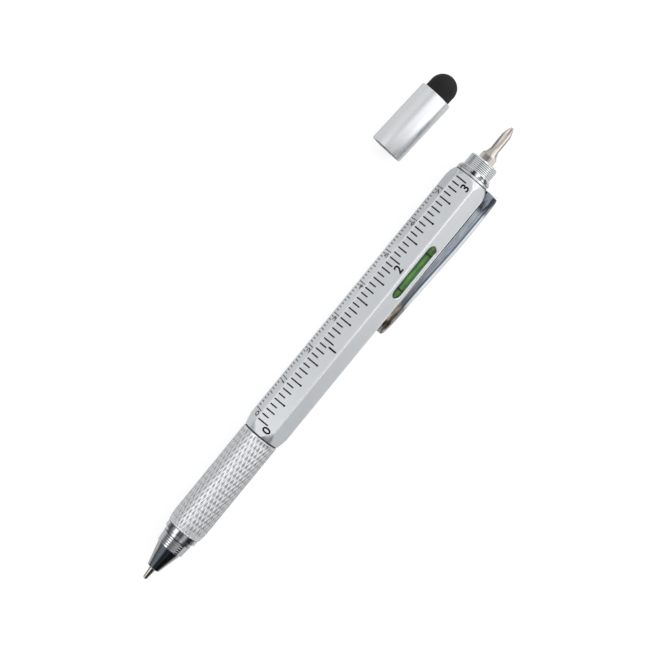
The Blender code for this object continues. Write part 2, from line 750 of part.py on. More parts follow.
def make_bit_socket(parent):
    """Collar, stud and socket in one turned piece, with a hexagonal bore for the bit."""
    fit = BARREL_FIT_RADIUS
    outline = [
        (SOCKET_X, 0.0),
        (STUD_END_X, 0.0),
        (STUD_END_X, STUD_RADIUS - STUD_CHAMFER),
        (STUD_END_X - STUD_CHAMFER, STUD_RADIUS),
        (STUD_X, STUD_RADIUS),
        (STUD_X, COLLAR_TOP_RADIUS),
    ]
    for step in range(1, ARC_STEPS + 1):
        share = step / ARC_STEPS
        outline.append((
            STUD_X - COLLAR_LENGTH * COLLAR_BEAD_SHARE * share,
            COLLAR_TOP_RADIUS + (COLLAR_RADIUS - COLLAR_TOP_RADIUS) * math.sin(share * math.pi / 2),
        ))
    outline += [(COLLAR_X, COLLAR_RADIUS), (COLLAR_X, fit), (SOCKET_X, fit)]
    socket = add_piece("bit_socket", turned(outline, SIDES_FINE), "chrome", parent)
    bore_section = hexagon(BIT_FLAT_RADIUS + SEAT_GAP, SEAT_GAP, 1)
    bore = prism(bore_section, MAGNET_X + MAGNET_LENGTH, STUD_END_X + OVERRUN)
    cut(socket, turned_shape(bore, math.radians(BIT_TURN_DEGREES)), "hex_bore", parent)
    pocket_end = MAGNET_X + MAGNET_LENGTH + OVERRUN
    pocket = rod(MAGNET_X - SEAT_GAP, pocket_end, MAGNET_RADIUS + SEAT_GAP, SIDES_SMALL)
    cut(socket, pocket, "magnet_pocket", parent)
    return socket


def make_bit_magnet(parent):
    shape = rod(MAGNET_X, MAGNET_X + MAGNET_LENGTH, MAGNET_RADIUS, SIDES_SMALL)
    return add_piece("bit_magnet", shape, "steel", parent)


# Screwdriver bit

def flute_cutter():
    """Wedge that cuts one flute of the cross point, deepest at the tip."""
    back = BIT_END_X - FLUTE_LENGTH
    front = BIT_END_X + OVERRUN
    rise = BIT_POINT_RADIUS + OVERRUN
    slope = (BIT_POINT_RADIUS - FLUTE_TIP_DEPTH) / FLUTE_LENGTH
    sections = []
    for along in (back, front):
        floor = FLUTE_TIP_DEPTH + slope * (BIT_END_X - along)
        sections.append([(along, 0.0, floor), (along, rise, floor + rise), (along, -rise, floor + rise)])
    return loft(sections)


def blade_cutter(side):
    """Block that flattens one side of the blade at the inner end."""
    half = BLADE_THICKNESS / 2
    reach = side * (BIT_SHAFT_RADIUS + OVERRUN)
    slope = (BIT_SHAFT_RADIUS - half) / BLADE_LENGTH
    wide = BIT_SHAFT_RADIUS + OVERRUN
    sections = []
    for along in (BIT_X - OVERRUN, BIT_X + BLADE_LENGTH + OVERRUN):
        floor = side * (half + slope * (along - BIT_X))
        top = floor + reach
        sections.append([
            (along, -wide, floor),
            (along, wide, floor),
            (along, wide, top),
            (along, -wide, top),
        ])
    return loft(sections)


def make_screwdriver_bit(parent):
    """Double-ended bit: cross point outside, flat blade inside the socket."""
    turn = math.radians(BIT_TURN_DEGREES)
    corner = BIT_FLAT_RADIUS / math.cos(math.pi / 6)
    hex_end = STUD_END_X + BIT_HEX_REACH
    taper_end = hex_end + BIT_TAPER_LENGTH
    point_x = BIT_END_X - BIT_POINT_LENGTH
    mirror = BIT_X + BIT_END_X
    flare = corner - BIT_SHAFT_RADIUS
    along_share, rise_share = BIT_FLARE_SHARES
    bar = prism(hexagon(BIT_FLAT_RADIUS, SEAT_GAP, 1), BIT_X, BIT_END_X)
    bit = add_piece("screwdriver_bit", turned_shape(bar, turn), "nickel", parent)
    outline = [
        (BIT_X, 0.0),
        (BIT_X, BIT_SHAFT_RADIUS),
        (mirror - taper_end, BIT_SHAFT_RADIUS),
        (mirror - hex_end, corner),
        (mirror - hex_end + OVERRUN, corner + OVERRUN),
        (hex_end - OVERRUN, corner + OVERRUN),
        (hex_end, corner),
        (hex_end + BIT_TAPER_LENGTH * along_share, BIT_SHAFT_RADIUS + flare * rise_share),
        (taper_end, BIT_SHAFT_RADIUS),
    ]
    for length_share, radius_share in BIT_POINT_SHARES:
        rise = (BIT_POINT_RADIUS - BIT_POINT_END_RADIUS) * radius_share
        outline.append((point_x + BIT_POINT_LENGTH * length_share, BIT_POINT_END_RADIUS + rise))
    outline += [(BIT_END_X, BIT_POINT_END_RADIUS), (BIT_END_X, 0.0)]
    cut(bit, turned(outline, SIDES_PLAIN), "turned_ends", parent, "INTERSECT")
    for quarter in range(4):
        cut(bit, turned_shape(flute_cutter(), quarter * math.pi / 2), "flute_" + str(quarter), parent)
    for side in (1, -1):
        cut(bit, blade_cutter(side), "blade_" + str(side), parent)
    return bit


# Clip: the plate is clamped under the collar, and the arm springs about its bend

def make_clip_ring(parent):
    """Plate with a hole for the socket and a tongue that reaches out to the bend."""
    half = CLIP_WIDTH / 2
    tip = CLIP_TOP_LIFT - CLIP_BEND_RADIUS
    outline = []
    steps = 6 * ARC_STEPS
    side = math.asin(half / BARREL_CROWN_RADIUS)
    for step in range(steps + 1):
        angle = side + (math.tau - 2 * side) * step / steps
        outline.append((BARREL_CROWN_RADIUS * math.sin(angle), BARREL_CROWN_RADIUS * math.cos(angle)))
    outline += [(-half, tip), (half, tip)]
    plate = add_piece("clip_ring", prism(outline, CLIP_PLATE_X, CLIP_PLATE_X + CLIP_SHEET), "chrome", parent)
    hole = rod(CLIP_PLATE_X - OVERRUN, CLIP_PLATE_X + CLIP_SHEET + OVERRUN, BARREL_BORE_RADIUS, SIDES_FINE)
    cut(plate, hole, "hole", parent)
    return plate


def clip_section(along, lift, half, wall, edge_round):
    """Section of the clip as a flat-topped arch, from one open edge to the other."""
    points = [(along, -half, lift - wall)]
    for side in (-1, 1):
        for step in range(ARC_STEPS + 1):
            share = step / ARC_STEPS if side < 0 else 1 - step / ARC_STEPS
            angle = share * math.pi / 2
            points.append((
                along,
                side * (half - edge_round + edge_round * math.cos(angle)),
                lift - edge_round + edge_round * math.sin(angle),
            ))
    points.append((along, half, lift - wall))
    return points


def clip_sections(inset):
    """Sections along the arm, drawn in by an inset for the channel inside it."""
    sections = []
    for along_share, lift_share, half_share, wall_share in CLIP_STATION_SHARES:
        along = -CLIP_LENGTH * along_share
        lift = CLIP_TOP_LIFT * lift_share
        room = lift - FLAT_RADIUS - CLIP_BARREL_GAP
        head = along > -CLIP_HEAD_LENGTH
        edge_round = CLIP_TOP_ROUND if head else CLIP_ARM_ROUND
        half = CLIP_WIDTH / 2 * half_share - inset
        wall = room * wall_share - inset
        edge_round = min(edge_round, half, wall)
        sections.append((along, lift - inset, half, wall, edge_round))
    return sections


def make_clip_arm(hinge):
    """Channel of sheet metal with a deep head at the bend and a solid, rounded foot."""
    outer = loft([clip_section(*values) for values in clip_sections(0.0)])
    for vert in outer.verts:
        vert.co.z -= hinge.location.z
    arm = add_piece("clip_arm", outer, "chrome", hinge)
    inner = []
    for along, lift, half, wall, edge_round in clip_sections(CLIP_SHEET):
        if along > CLIP_FOOT_LENGTH - CLIP_LENGTH:
            open_wall = wall + CLIP_SHEET + OVERRUN
            inner.append((along, lift, half, open_wall, min(edge_round, CLIP_ARM_ROUND / 2)))
    first = inner[0]
    inner[0] = (-CLIP_SHEET, *first[1:])
    channel = loft([clip_section(*values) for values in inner])
    for vert in channel.verts:
        vert.co.z -= hinge.location.z
    cut(arm, channel, "channel", hinge)
    return arm


# Cap with stylus tip

def make_cap_tube(parent):
    thread_bore = STUD_RADIUS + RUN_GAP
    web_end = CAP_BORE_DEPTH + CAP_WEB
    seat_radius = STYLUS_RADIUS + SEAT_GAP
    stem_hole = STYLUS_STEM_RADIUS + SEAT_GAP
    edge = CAP_RADIUS - CAP_EDGE_ROUND
    outline = [
        (0.0, thread_bore),
        (CAP_THREAD_DEPTH, thread_bore),
        (CAP_THREAD_DEPTH, CAP_BORE_RADIUS),
        (CAP_BORE_DEPTH, CAP_BORE_RADIUS),
        (CAP_BORE_DEPTH, stem_hole),
        (web_end, stem_hole),
        (web_end, seat_radius),
        (CAP_LENGTH, seat_radius),
        (CAP_LENGTH, edge),
        (CAP_LENGTH - CAP_EDGE_ROUND, CAP_RADIUS),
        (0.0, CAP_RADIUS),
    ]
    return add_piece("cap_tube", turned(outline, SIDES_FINE), "satin_silver", parent)


def make_stylus_dome(parent):
    """Hollow rubber dome with a lip at its base, which the holder traps in the cap."""
    base = CAP_BORE_DEPTH + CAP_WEB + SEAT_GAP
    centre = CAP_LENGTH + STYLUS_REACH - STYLUS_RADIUS
    inner = STYLUS_RADIUS - STYLUS_WALL
    outline = [
        (base, STYLUS_STEM_RADIUS + SEAT_GAP),
        (base + STYLUS_WALL, STYLUS_STEM_RADIUS + SEAT_GAP),
        (base + STYLUS_WALL, inner),
    ]
    inside = arc((centre, 0.0), inner, 90, 0, 2 * ARC_STEPS)
    outside = arc((centre, 0.0), STYLUS_RADIUS, 0, 90, 2 * ARC_STEPS)
    inside[-1] = (centre + inner, 0.0)
    outside[0] = (centre + STYLUS_RADIUS, 0.0)
    outline += inside + outside + [(base, STYLUS_RADIUS)]
    return add_piece("stylus_dome", turned(outline, SIDES_PLAIN), "black_rubber", parent)


def make_stylus_holder(parent):
    """Rivet that holds the dome: a foot inside the cap, a stem, and a head inside the dome."""
    foot_end = CAP_BORE_DEPTH - SEAT_GAP
    head_start = CAP_BORE_DEPTH + CAP_WEB + 2 * SEAT_GAP + STYLUS_WALL
    outline = [
        (foot_end - STYLUS_HEAD_LENGTH, 0.0),
        (head_start + STYLUS_HEAD_LENGTH, 0.0),
        (head_start + STYLUS_HEAD_LENGTH, STYLUS_HEAD_RADIUS),
        (head_start, STYLUS_HEAD_RADIUS),
        (head_start, STYLUS_STEM_RADIUS),
        (foot_end, STYLUS_STEM_RADIUS),
        (foot_end, STYLUS_FOOT_RADIUS),
        (foot_end - STYLUS_HEAD_LENGTH, STYLUS_FOOT_RADIUS),
    ]
    return add_piece("stylus_holder", turned(outline, SIDES_SMALL), "black_plastic", parent)


# Assembly

def lie_turn():
    """Turn of the pen about its axis at which it lies on a barrel edge and the clip's corner.

    Both the rounded edge of the barrel and the rounded corner of the clip are arcs, and the turn
    brings their lowest points to one height.
    """
    edge_centre = (FLAT_RADIUS - BARREL_EDGE_ROUND) / math.cos(math.pi / 6)
    across = edge_centre - (CLIP_WIDTH / 2 - CLIP_TOP_ROUND)
    outward = CLIP_TOP_LIFT - CLIP_TOP_ROUND
    difference = CLIP_TOP_ROUND - BARREL_EDGE_ROUND
    lean = math.acos(difference / math.hypot(across, outward)) - math.atan2(outward, across)
    return math.pi / 6 - lean


def lie_height(turn):
    """Height of the pen's axis above the table at that turn."""
    edge_centre = (FLAT_RADIUS - BARREL_EDGE_ROUND) / math.cos(math.pi / 6)
    return edge_centre * math.cos(math.pi / 6 - turn) + BARREL_EDGE_ROUND


def build_pen(turn):
    pen = axis_empty("pen_axis", None, -turn)
    barrel = axis_empty("barrel_axis", pen)
    make_barrel_shell(barrel)
    make_barrel_bush(barrel)
    make_cam_sleeve(barrel)
    make_vial_holder(barrel)
    level = axis_empty("level_axis", barrel)
    level.location = Vector((0.0, -math.sin(LEVEL_FACE), math.cos(LEVEL_FACE))) * VIAL_OFFSET
    make_vial_tube(level)
    make_vial_plug(level)
    make_vial_liquid(level, turn)
    make_level_lens(barrel)
    make_bit_socket(barrel)
    make_bit_magnet(barrel)

    clip_side = axis_empty("clip_side", barrel, CLIP_FACE)
    make_clip_ring(clip_side)
    clip_hinge = axis_empty("clip_hinge", clip_side)
    clip_hinge.location = (CLIP_PLATE_X - CLIP_BEND_GAP, 0.0, CLIP_TOP_LIFT - CLIP_BEND_RADIUS)
    make_clip_arm(clip_hinge)

    grip = axis_empty("grip_axis", pen)
    make_grip_tube(grip)
    make_nose_cone(grip)
    make_driver_tube(grip)
    make_snap_ring(grip)

    refill = axis_empty("refill_axis", grip)
    make_refill_ball(refill)
    make_refill_tip(refill)
    make_refill_tube(refill)
    make_refill_plug(refill)
    make_refill_carrier(refill)
    make_cam_pin(refill)

    bit = axis_empty("bit_axis", pen)
    make_screwdriver_bit(bit)
    return pen


def build_cap():
    cap = axis_empty("cap_axis")
    cap.rotation_euler.z = math.radians(CAP_YAW_DEGREES)
    make_cap_tube(cap)
    make_stylus_dome(cap)
    make_stylus_holder(cap)
    return cap


def part_bounds():
    """Lowest and highest corners of everything that is not a cutter."""
    graph = bpy.context.evaluated_depsgraph_get()
    low = Vector((math.inf,) * 3)
    high = Vector((-math.inf,) * 3)
    for item in bpy.data.objects:
        if item.type != "MESH" or item.hide_render:
            continue
        seen = item.evaluated_get(graph)
        for vert in seen.to_mesh().vertices:
            place = seen.matrix_world @ vert.co
            low = Vector(map(min, low, place))
            high = Vector(map(max, high, place))
        seen.to_mesh_clear()
    return low, high


def main():
    clear_scene()
    turn = lie_turn()
    pen = build_pen(turn)
    cap = build_cap()
    pen.location.z = lie_height(turn)
    cap.location = (CAP_AHEAD, CAP_ASIDE, CAP_RADIUS)
    low, high = part_bounds()
    centre = (low + high) / 2
    for carrier in (pen, cap):
        carrier.location -= Vector((centre.x, centre.y, low.z))
    bpy.context.view_layer.update()
    print("turn in degrees", round(math.degrees(turn), 4))
    for name in ("pen_axis", "cap_axis", "clip_hinge"):
        place = bpy.data.objects[name].matrix_world
        print(name, "at", [round(value, 6) for value in place.translation])
        print(name, "Y axis", [round(value, 6) for value in place.col[1].xyz])
        print(name, "X axis", [round(value, 6) for value in place.col[0].xyz])


main()
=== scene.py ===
"""The looks of a multi tool pen: ruler barrel with a level, knurled grip, clip, bit and stylus cap."""
import json
import math

import bmesh
import bpy
from mathutils import Matrix, Vector


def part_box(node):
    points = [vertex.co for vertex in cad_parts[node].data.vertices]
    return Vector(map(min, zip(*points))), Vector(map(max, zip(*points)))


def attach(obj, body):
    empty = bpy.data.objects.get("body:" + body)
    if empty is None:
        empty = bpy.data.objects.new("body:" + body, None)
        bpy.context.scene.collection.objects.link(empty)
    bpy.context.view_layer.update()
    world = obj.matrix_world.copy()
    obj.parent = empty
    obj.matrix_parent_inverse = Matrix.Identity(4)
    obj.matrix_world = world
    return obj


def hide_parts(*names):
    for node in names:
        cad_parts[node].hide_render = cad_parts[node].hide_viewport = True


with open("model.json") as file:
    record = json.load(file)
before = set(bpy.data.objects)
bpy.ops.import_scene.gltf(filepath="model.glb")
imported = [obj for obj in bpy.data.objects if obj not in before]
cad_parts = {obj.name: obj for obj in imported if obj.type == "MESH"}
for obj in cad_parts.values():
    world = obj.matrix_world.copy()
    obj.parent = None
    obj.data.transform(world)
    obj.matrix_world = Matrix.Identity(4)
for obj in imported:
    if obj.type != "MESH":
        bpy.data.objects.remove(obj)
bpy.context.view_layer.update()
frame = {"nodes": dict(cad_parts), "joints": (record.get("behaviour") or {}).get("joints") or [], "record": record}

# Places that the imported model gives
JOINTS = {joint["name"]: joint for joint in frame["joints"]}
MOUNTS = {mount["name"]: mount for mount in frame["record"]["mounts"]}
TWIST = Vector(JOINTS["grip_twist"]["pos_m"])
INCH_FACE_UP = Vector(MOUNTS["ruler_face"]["axis"])
CAP_ALONG = Vector(JOINTS["cap_slide"]["axis"])
PEN_START_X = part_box("refill_ball")[0].x
PEN_TURN = math.asin(INCH_FACE_UP.y)
PEN_PLACE = Matrix.Translation((PEN_START_X, TWIST.y, TWIST.z)) @ Matrix.Rotation(-PEN_TURN, 4, "X")
LEVEL_TURN = math.radians(60)
MM = 1000.0
WELD = 0.0000005
SHARP_EDGE = math.radians(30)
FINE_EDGE = math.radians(8)

# Turned pieces
FINE_SIDES = 160
PLAIN_SIDES = 96
GRIP_RADIUS = 0.0050
GRIP_FRONT_RADIUS = 0.0047
GRIP_SHOULDER = 0.0030
GRIP_EDGE = 0.00015
GRIP_WALL = 0.0011
GRIP_COLUMNS = 320
KNURL_ROW = 0.00021
KNURL_STARTS = 32
KNURL_PERIOD = 0.00337
KNURL_DEPTH = 0.00014
KNURL_RIM = 0.0004
KNURL_CREST = 0.8
RELIEF_STARTS_ABOVE = 1.01
NOSE_CONE_LENGTH = 0.0065
NOSE_BAND_LENGTH = 0.0031
NOSE_NECK_LENGTH = 0.0010
NOSE_EDGE = 0.00018
NOSE_EDGE_STEPS = 5
NOSE_END_RADIUS = 0.00175
NOSE_CONE_RADIUS = 0.00335
NOSE_BAND_RADII = (0.00365, 0.00395)
NOSE_NECK_RADIUS = 0.00396
NOSE_RING_RADII = (0.00446, 0.00452)
NOSE_GROOVES = 5
NOSE_GROOVE_DEPTH = 0.00004
NOSE_GROOVE_SHARE = 0.12
# Painted shade along the nose's grooves
GROOVE_LINE = (0.16, 0.32)
GROOVE_SHOWN = (0.70, 0.86)
NOSE_MOUTH_RADIUS = 0.00138
NOSE_MOUTH_LENGTH = 0.0010
NOSE_BORE_START = 0.0035
NOSE_BORE_RADIUS = 0.0022
NOSE_SPIGOT_RADIUS = 0.0037
NOSE_SEAT_GAP = 0.0001
COLLAR_RADIUS = 0.0047
COLLAR_TOP_RADIUS = 0.00415
COLLAR_LENGTH = 0.0011
STUD_RADIUS = 0.00395
STUD_LENGTH = 0.0035
STUD_CHAMFER = 0.00035
THREAD_PITCH = 0.00044
THREAD_DEPTH = 0.00009
BIT_ACROSS_FLATS = 0.0040
BIT_HEX_REACH = 0.00155
BIT_GAP = 0.0001
HEXAGON_TURN = math.radians(-13.5)
SOCKET_SPIGOT_RADIUS = 0.0039
SOCKET_BORE_AHEAD = 0.004
COLLAR_EDGE = 0.00008
COLLAR_ROUND_SHARE = 0.9
COLLAR_STEPS = 12
STUD_SIDES = 156
STUD_SEAM = 0.00005
THREAD_AHEAD = 0.0001
THREAD_ROW = THREAD_PITCH / 8
THREAD_INSIDE = STUD_RADIUS - STUD_CHAMFER * 1.1

# Cap and stylus tip, with their hollows as (along, radius) rows from the cap's mouth
CAP_EDGE = 0.0004
CAP_EDGE_STEPS = 8
CAP_RIM = 0.00012
CAP_RIM_STEPS = 4
CAP_MOUTH_RADIUS = 0.00415
CAP_BORE = (
    (0.0150, 0.0015), (0.0150, 0.0036), (0.0044, 0.0036), (0.0042, CAP_MOUTH_RADIUS),
    (CAP_RIM, CAP_MOUTH_RADIUS), (0.0, CAP_MOUTH_RADIUS + 0.0001),
)
CAP_SEAT_RADIUS = 0.0037
CAP_SEAT_EDGE = 0.00005
CAP_SEAT = ((0.0164, CAP_SEAT_RADIUS), (0.0164, 0.0015))
DOME_REACH = 0.00578
DOME_RADIUS = 0.0036
DOME_INNER_RADIUS = 0.0028
DOME_STEPS = 28
DOME_INNER_STEPS = 16
DOME_POLE_ANGLE = 3
DOME_START = 0.0165
DOME_HOLLOW = ((DOME_START, 0.0016), (0.0173, 0.0016), (0.0173, DOME_INNER_RADIUS))

# Print on the barrel
INCH = 0.0254
CENTIMETRE = 0.01
MILLIMETRE = 0.001
INCH_PARTS = 16
INCH_TICKS = 49
INCH_DIGITS = 4
CM_TICKS = 71
CM_DIGITS = 8
DOT_SIDES = 20
DOT_RISE = 1.2
TICK_WIDTH = 0.00036
PRINT_HEIGHT = 0.00002
INCH_ZERO_AHEAD = 0.0032
INCH_EDGE = 0.00257
INCH_LENGTHS = (0.0020, 0.0026, 0.00304, 0.00304)
INCH_STEPS = (2, 4, 16)
INCH_DOT_RADIUS = 0.00028
INCH_DIGIT_HEIGHT = 0.00228
INCH_DIGIT_BACK = 0.0011
INCH_DIGIT_PAST = 0.0005
CM_ZERO_AHEAD = 0.0049
CM_TICK_WIDTH = 0.00026
CM_EDGE = 0.00195
CM_LENGTHS = (0.00145, 0.00225, 0.00225, 0.0042)
CM_STEPS = (5, 5, 10)
CM_DIGIT_HEIGHT = 0.00215
CM_DIGIT_BACK = 0.00112
CM_DIGIT_ACROSS = -0.00103
DIGIT_BOLDNESS = 0.022
DIGIT_WIDENING = 1.04
DIGIT_CURVE_STEPS = 6
DIGIT_HALF_DEPTH = 0.5
BARREL_FLAT = 0.00495
BARREL_EDGE = 0.00016
FLAT_ANGLE = math.radians(0.6)
ROUND_SEGMENTS = 2

# Clip: its open edges are drawn down, and its foot half is a little flatter
CLIP_CLOSING = 0.00036
CLIP_CLOSING_REACH = 0.0012
CLIP_HEAD_CLOSING = 0.0005
CLIP_HEAD_START = 0.0028
CLIP_HEAD_END = 0.0008
CLIP_FLATTER = 0.15
CLIP_HEIGHT = 0.0035
CLIP_TOE_END = (0.0835, 0.0855)
CLIP_FLATTER_END = (0.0960, 0.1140)

# Level
LEVEL_LINE_APART = 0.0110
LEVEL_LINE_WIDTH = 0.00055
LENS_EDGE = 0.0001
VIAL_RADIUS = 0.0022
VIAL_OFFSET = 0.0017

# Where the paints change, in millimetres: (from, to) along the pen, out from its middle, or past an
# edge that the finish names
# Painted highlight along the barrel's corners, and painted light on the corner by the clip
CORNER_POLISH_AND_HIGHLIGHT = (5.46, 5.62)
CLIP_CORNER_SIDE = (5.3, 5.5)
CLIP_CORNER_FADE = (0.0, 2.0)
# Painted light and shade on the barrel's turned end and its faces
TURNED_END = (100.0, 108.0)
TURNED_FLAT_FADE = (-0.30, -0.08)
BARREL_FADE = (40.0, 130.0)
SIDE_FACE = (2.7, 2.9)
INCH_FACE = (4.6, 4.9)
INCH_FRONT = (38.0, 74.0)
INCH_HALF = (66.0, 92.0)
BARREL_END_LINE = (-0.28, -0.14)
# Painted light on the front of the knurl, and painted shade lines at the nose's steps
KNURL_FRONT = (1.0, 3.5)
CONE_SEAM = (-0.1, 0.05)
PLATE_SEAM = (-0.05, 0.05)
NECK_LINE = (0.08, 0.20)
RING_LINE = (0.06, 0.16)
HEXAGON_SEAM = (-0.1, 0.3)
# Painted reflections and shade on the clip, by place along it and depth below its top
CLIP_TOP = 8.92
CLIP_SLOPE = 0.0131
CLIP_HEAD = (-6.0, -4.0)
CLIP_FOOT = (7.6, 10.0)
CLIP_WALL = (8.0, 26.0)
CLIP_FOOT_REFLECTION = (4.6, 6.0)
CLIP_TOE = (1.2, 2.0)
CLIP_ROOT = (0.05, 0.40)
CLIP_WALL_DEPTH = (3.2, 3.7)
CLIP_LINE_START = (1.20, 1.40)
CLIP_LINE_END = (1.60, 1.85)
CLIP_RIM_DEPTH = (1.10, 1.30)
CLIP_EDGE_DEPTH = (0.55, 1.15)
# Painted light and shade on the level's window
LEVEL_WIDTH = 3.2
LEVEL_HIGHLIGHT = (0.2, 0.8)
LEVEL_LIT = (1.0, 8.0)
LEVEL_LINE = (0.20, 0.30)
LEVEL_LINE_SHOWN = (-0.6, 0.9)

# Camera and light
CAMERA_PLACE = (0.021745, -0.00548, 0.46005)
CAMERA_TURN_DEGREES = (-1.7474, 1.2395, -50.7419)
CAMERA_LENS = 99.35
SENSOR_WIDTH = 36.0
FLOOR_SIZE = 4.0
FLOOR_GREY = 0.80
FLOOR_WHITE = 1.31
FLOOR_WHITE_SHARE = 0.62
LAMP_DISTANCE = 0.8
LAMP_SIZE = 0.55
LAMP_WIDER = 1.6
LAMP_LEAN_DEGREES = 40
LAMP_POWER = 0.8

# Brightness of the sky: (degrees from overhead towards the clip's side, level) rows
SKY_AT_CAP = (
    (-90, 0.79), (-66, 0.86), (-50, 0.89), (-38, 0.86), (-28, 0.79), (-20, 0.71), (-12, 0.82), (-2, 1.08),
    (10, 1.36), (24, 1.36), (36, 1.36), (46, 1.60), (54, 1.86), (64, 1.94), (74, 1.68), (82, 1.40),
    (90, 1.28),
)
SKY_AT_GRIP = (
    (-90, 0.68), (-73, 0.74), (-63, 0.82), (-54, 0.90), (-44, 0.98), (-36, 1.02), (-18, 1.02), (-8, 0.97),
    (7, 0.88), (24, 0.82), (41, 0.76), (59, 0.68), (69, 0.58), (80, 0.46), (90, 0.40),
)
SKY_AT_NOSE = (
    (-90, 0.26), (-74, 0.30), (-60, 0.50), (-50, 0.85), (-42, 1.26), (-36, 1.44), (-26, 1.38), (-20, 0.50),
    (-13, 0.16), (-4, 0.18), (8, 0.19), (18, 0.28), (28, 0.48), (38, 0.44), (50, 0.24), (60, 0.07),
    (76, 0.08), (90, 0.12),
)
SKY_PAST_NOSE = (
    (-90, 0.13), (-70, 0.15), (-47, 0.23), (-36, 0.27), (-25, 0.22), (-14, 0.10), (-4, 0.026), (10, 0.022),
    (30, 0.045), (42, 0.048), (54, 0.012), (90, 0.010),
)
SKY_PEAK = 2.0
SKY_GRIP_FADE = (0.0, 0.11)
SKY_NOSE_FADE = (0.158, 0.176)
SKY_PAST_FADE = (0.40, 0.50)
SKY_GROUND_FADE = (0.38, 0.50)
SKY_NEAR_GROUND = 0.62

# Painted reflections in bands round the turned pieces: (degrees from overhead towards the clip's side, share) rows
CONE_BANDS = (
    (-66, 0.66), (-60, 0.85), (-54, 1.0), (-48, 0.50), (-42, 0.20), (-36, 0.20), (-30, 0.18), (-25, 0.65),
    (-20, 0.95), (8, 1.0), (14, 0.85), (18, 0.50), (23, 0.10), (28, 0.02), (44, 0.01), (50, 0.12),
    (56, 0.5), (66, 0.8),
)
GROOVED_BANDS = (
    (-70, 1.0), (-60, 0.80), (-48, 0.72), (-40, 0.85), (-34, 0.70), (-28, 0.60), (-22, 0.85), (-16, 1.5),
    (-11, 1.6), (-6, 1.25), (0, 1.0), (10, 1.0), (15, 0.8), (22, 1.2), (28, 1.3), (32, 0.85), (38, 0.42),
    (44, 0.55), (52, 0.80), (62, 0.70),
)
RING_BANDS = (
    (-66, 1.3), (-58, 1.0), (-52, 0.30), (-44, 0.24), (-36, 0.50), (-30, 0.62), (-25, 0.80), (-19, 1.45),
    (-12, 1.4), (-6, 0.60), (0, 1.0), (6, 0.50), (10, 0.90), (14, 1.15), (19, 1.6), (23, 1.2), (30, 0.6),
    (46, 0.16), (54, 0.35), (62, 1.05),
)
GRIP_BANDS = (
    (-60, 0.81), (-36, 0.81), (-30, 0.85), (-26, 0.91), (-20, 1.03), (-14, 1.08), (-4, 1.13), (4, 1.04),
    (9, 0.98), (13, 0.87), (30, 0.87), (36, 0.82), (41, 0.73), (50, 0.70), (60, 0.68),
)
COLLAR_BANDS = (
    (-66, 0.75), (-56, 0.50), (-48, 0.50), (-26, 0.60), (-18, 0.62), (-13, 0.20), (-7, 0.04), (-2, 0.06),
    (2, 0.45), (7, 0.95), (13, 0.95), (19, 0.20), (26, 0.18), (31, 0.70), (35, 0.80), (39, 0.16),
    (47, 0.14), (56, 0.80),
)
HEX_BANDS = ((-46, 0.9), (-38, 0.62), (-34, 0.42), (0, 0.34), (14, 0.42), (17, 0.25), (20, 0.62), (70, 0.68))
SHAFT_BANDS = ((-50, 0.7), (-30, 0.72), (-16, 0.8), (-6, 0.70), (4, 0.85), (14, 0.82), (32, 0.82), (46, 0.72))
POINT_BANDS = (
    (-60, 0.6), (-44, 0.45), (-34, 0.9), (-26, 1.3), (-12, 1.3), (-2, 0.30), (14, 0.10), (28, 0.16),
    (46, 0.7), (64, 0.9),
)
BLUE_SHADE = (0.86, 1.0, 1.16)
GLOSS_SEES_WHITE = 0.25


def reach_along(node):
    """First and last place of a node along the pen, from the pen's start."""
    low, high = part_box(node)
    return low.x - PEN_START_X, high.x - PEN_START_X


# Node trees, written as sums

def math_operator(operation, reflected=False):
    """An operator between wires, or a wire and a number, that adds a Math node."""
    def joined(wire, value):
        values = (value, wire) if reflected else (wire, value)
        return wire.tree.add("ShaderNodeMath", dict(enumerate(values)), operation=operation)
    return joined


class Wire:
    """The output of a node; sums of wires become Math nodes in the same tree."""

    __add__ = __radd__ = math_operator("ADD")
    __sub__ = math_operator("SUBTRACT")
    __rsub__ = math_operator("SUBTRACT", reflected=True)
    __mul__ = __rmul__ = math_operator("MULTIPLY")
    __truediv__ = math_operator("DIVIDE")
    __rtruediv__ = math_operator("DIVIDE", reflected=True)
    __mod__ = math_operator("MODULO")
    __pow__ = math_operator("POWER")

    def __init__(self, tree, socket):
        self.tree = tree
        self.socket = socket

    def math(self, operation, *values):
        inputs = dict(enumerate((self, *values)))
        return self.tree.add("ShaderNodeMath", inputs, operation=operation)

    def out(self, key):
        """Another output of the same node."""
        return Wire(self.tree, socket_named(self.socket.node.outputs, key))


def socket_named(sockets, key):
    """A socket by its number, or by its name among those in use."""
    if isinstance(key, int):
        return sockets[key]
    return next(socket for socket in sockets if socket.name == key and socket.enabled)


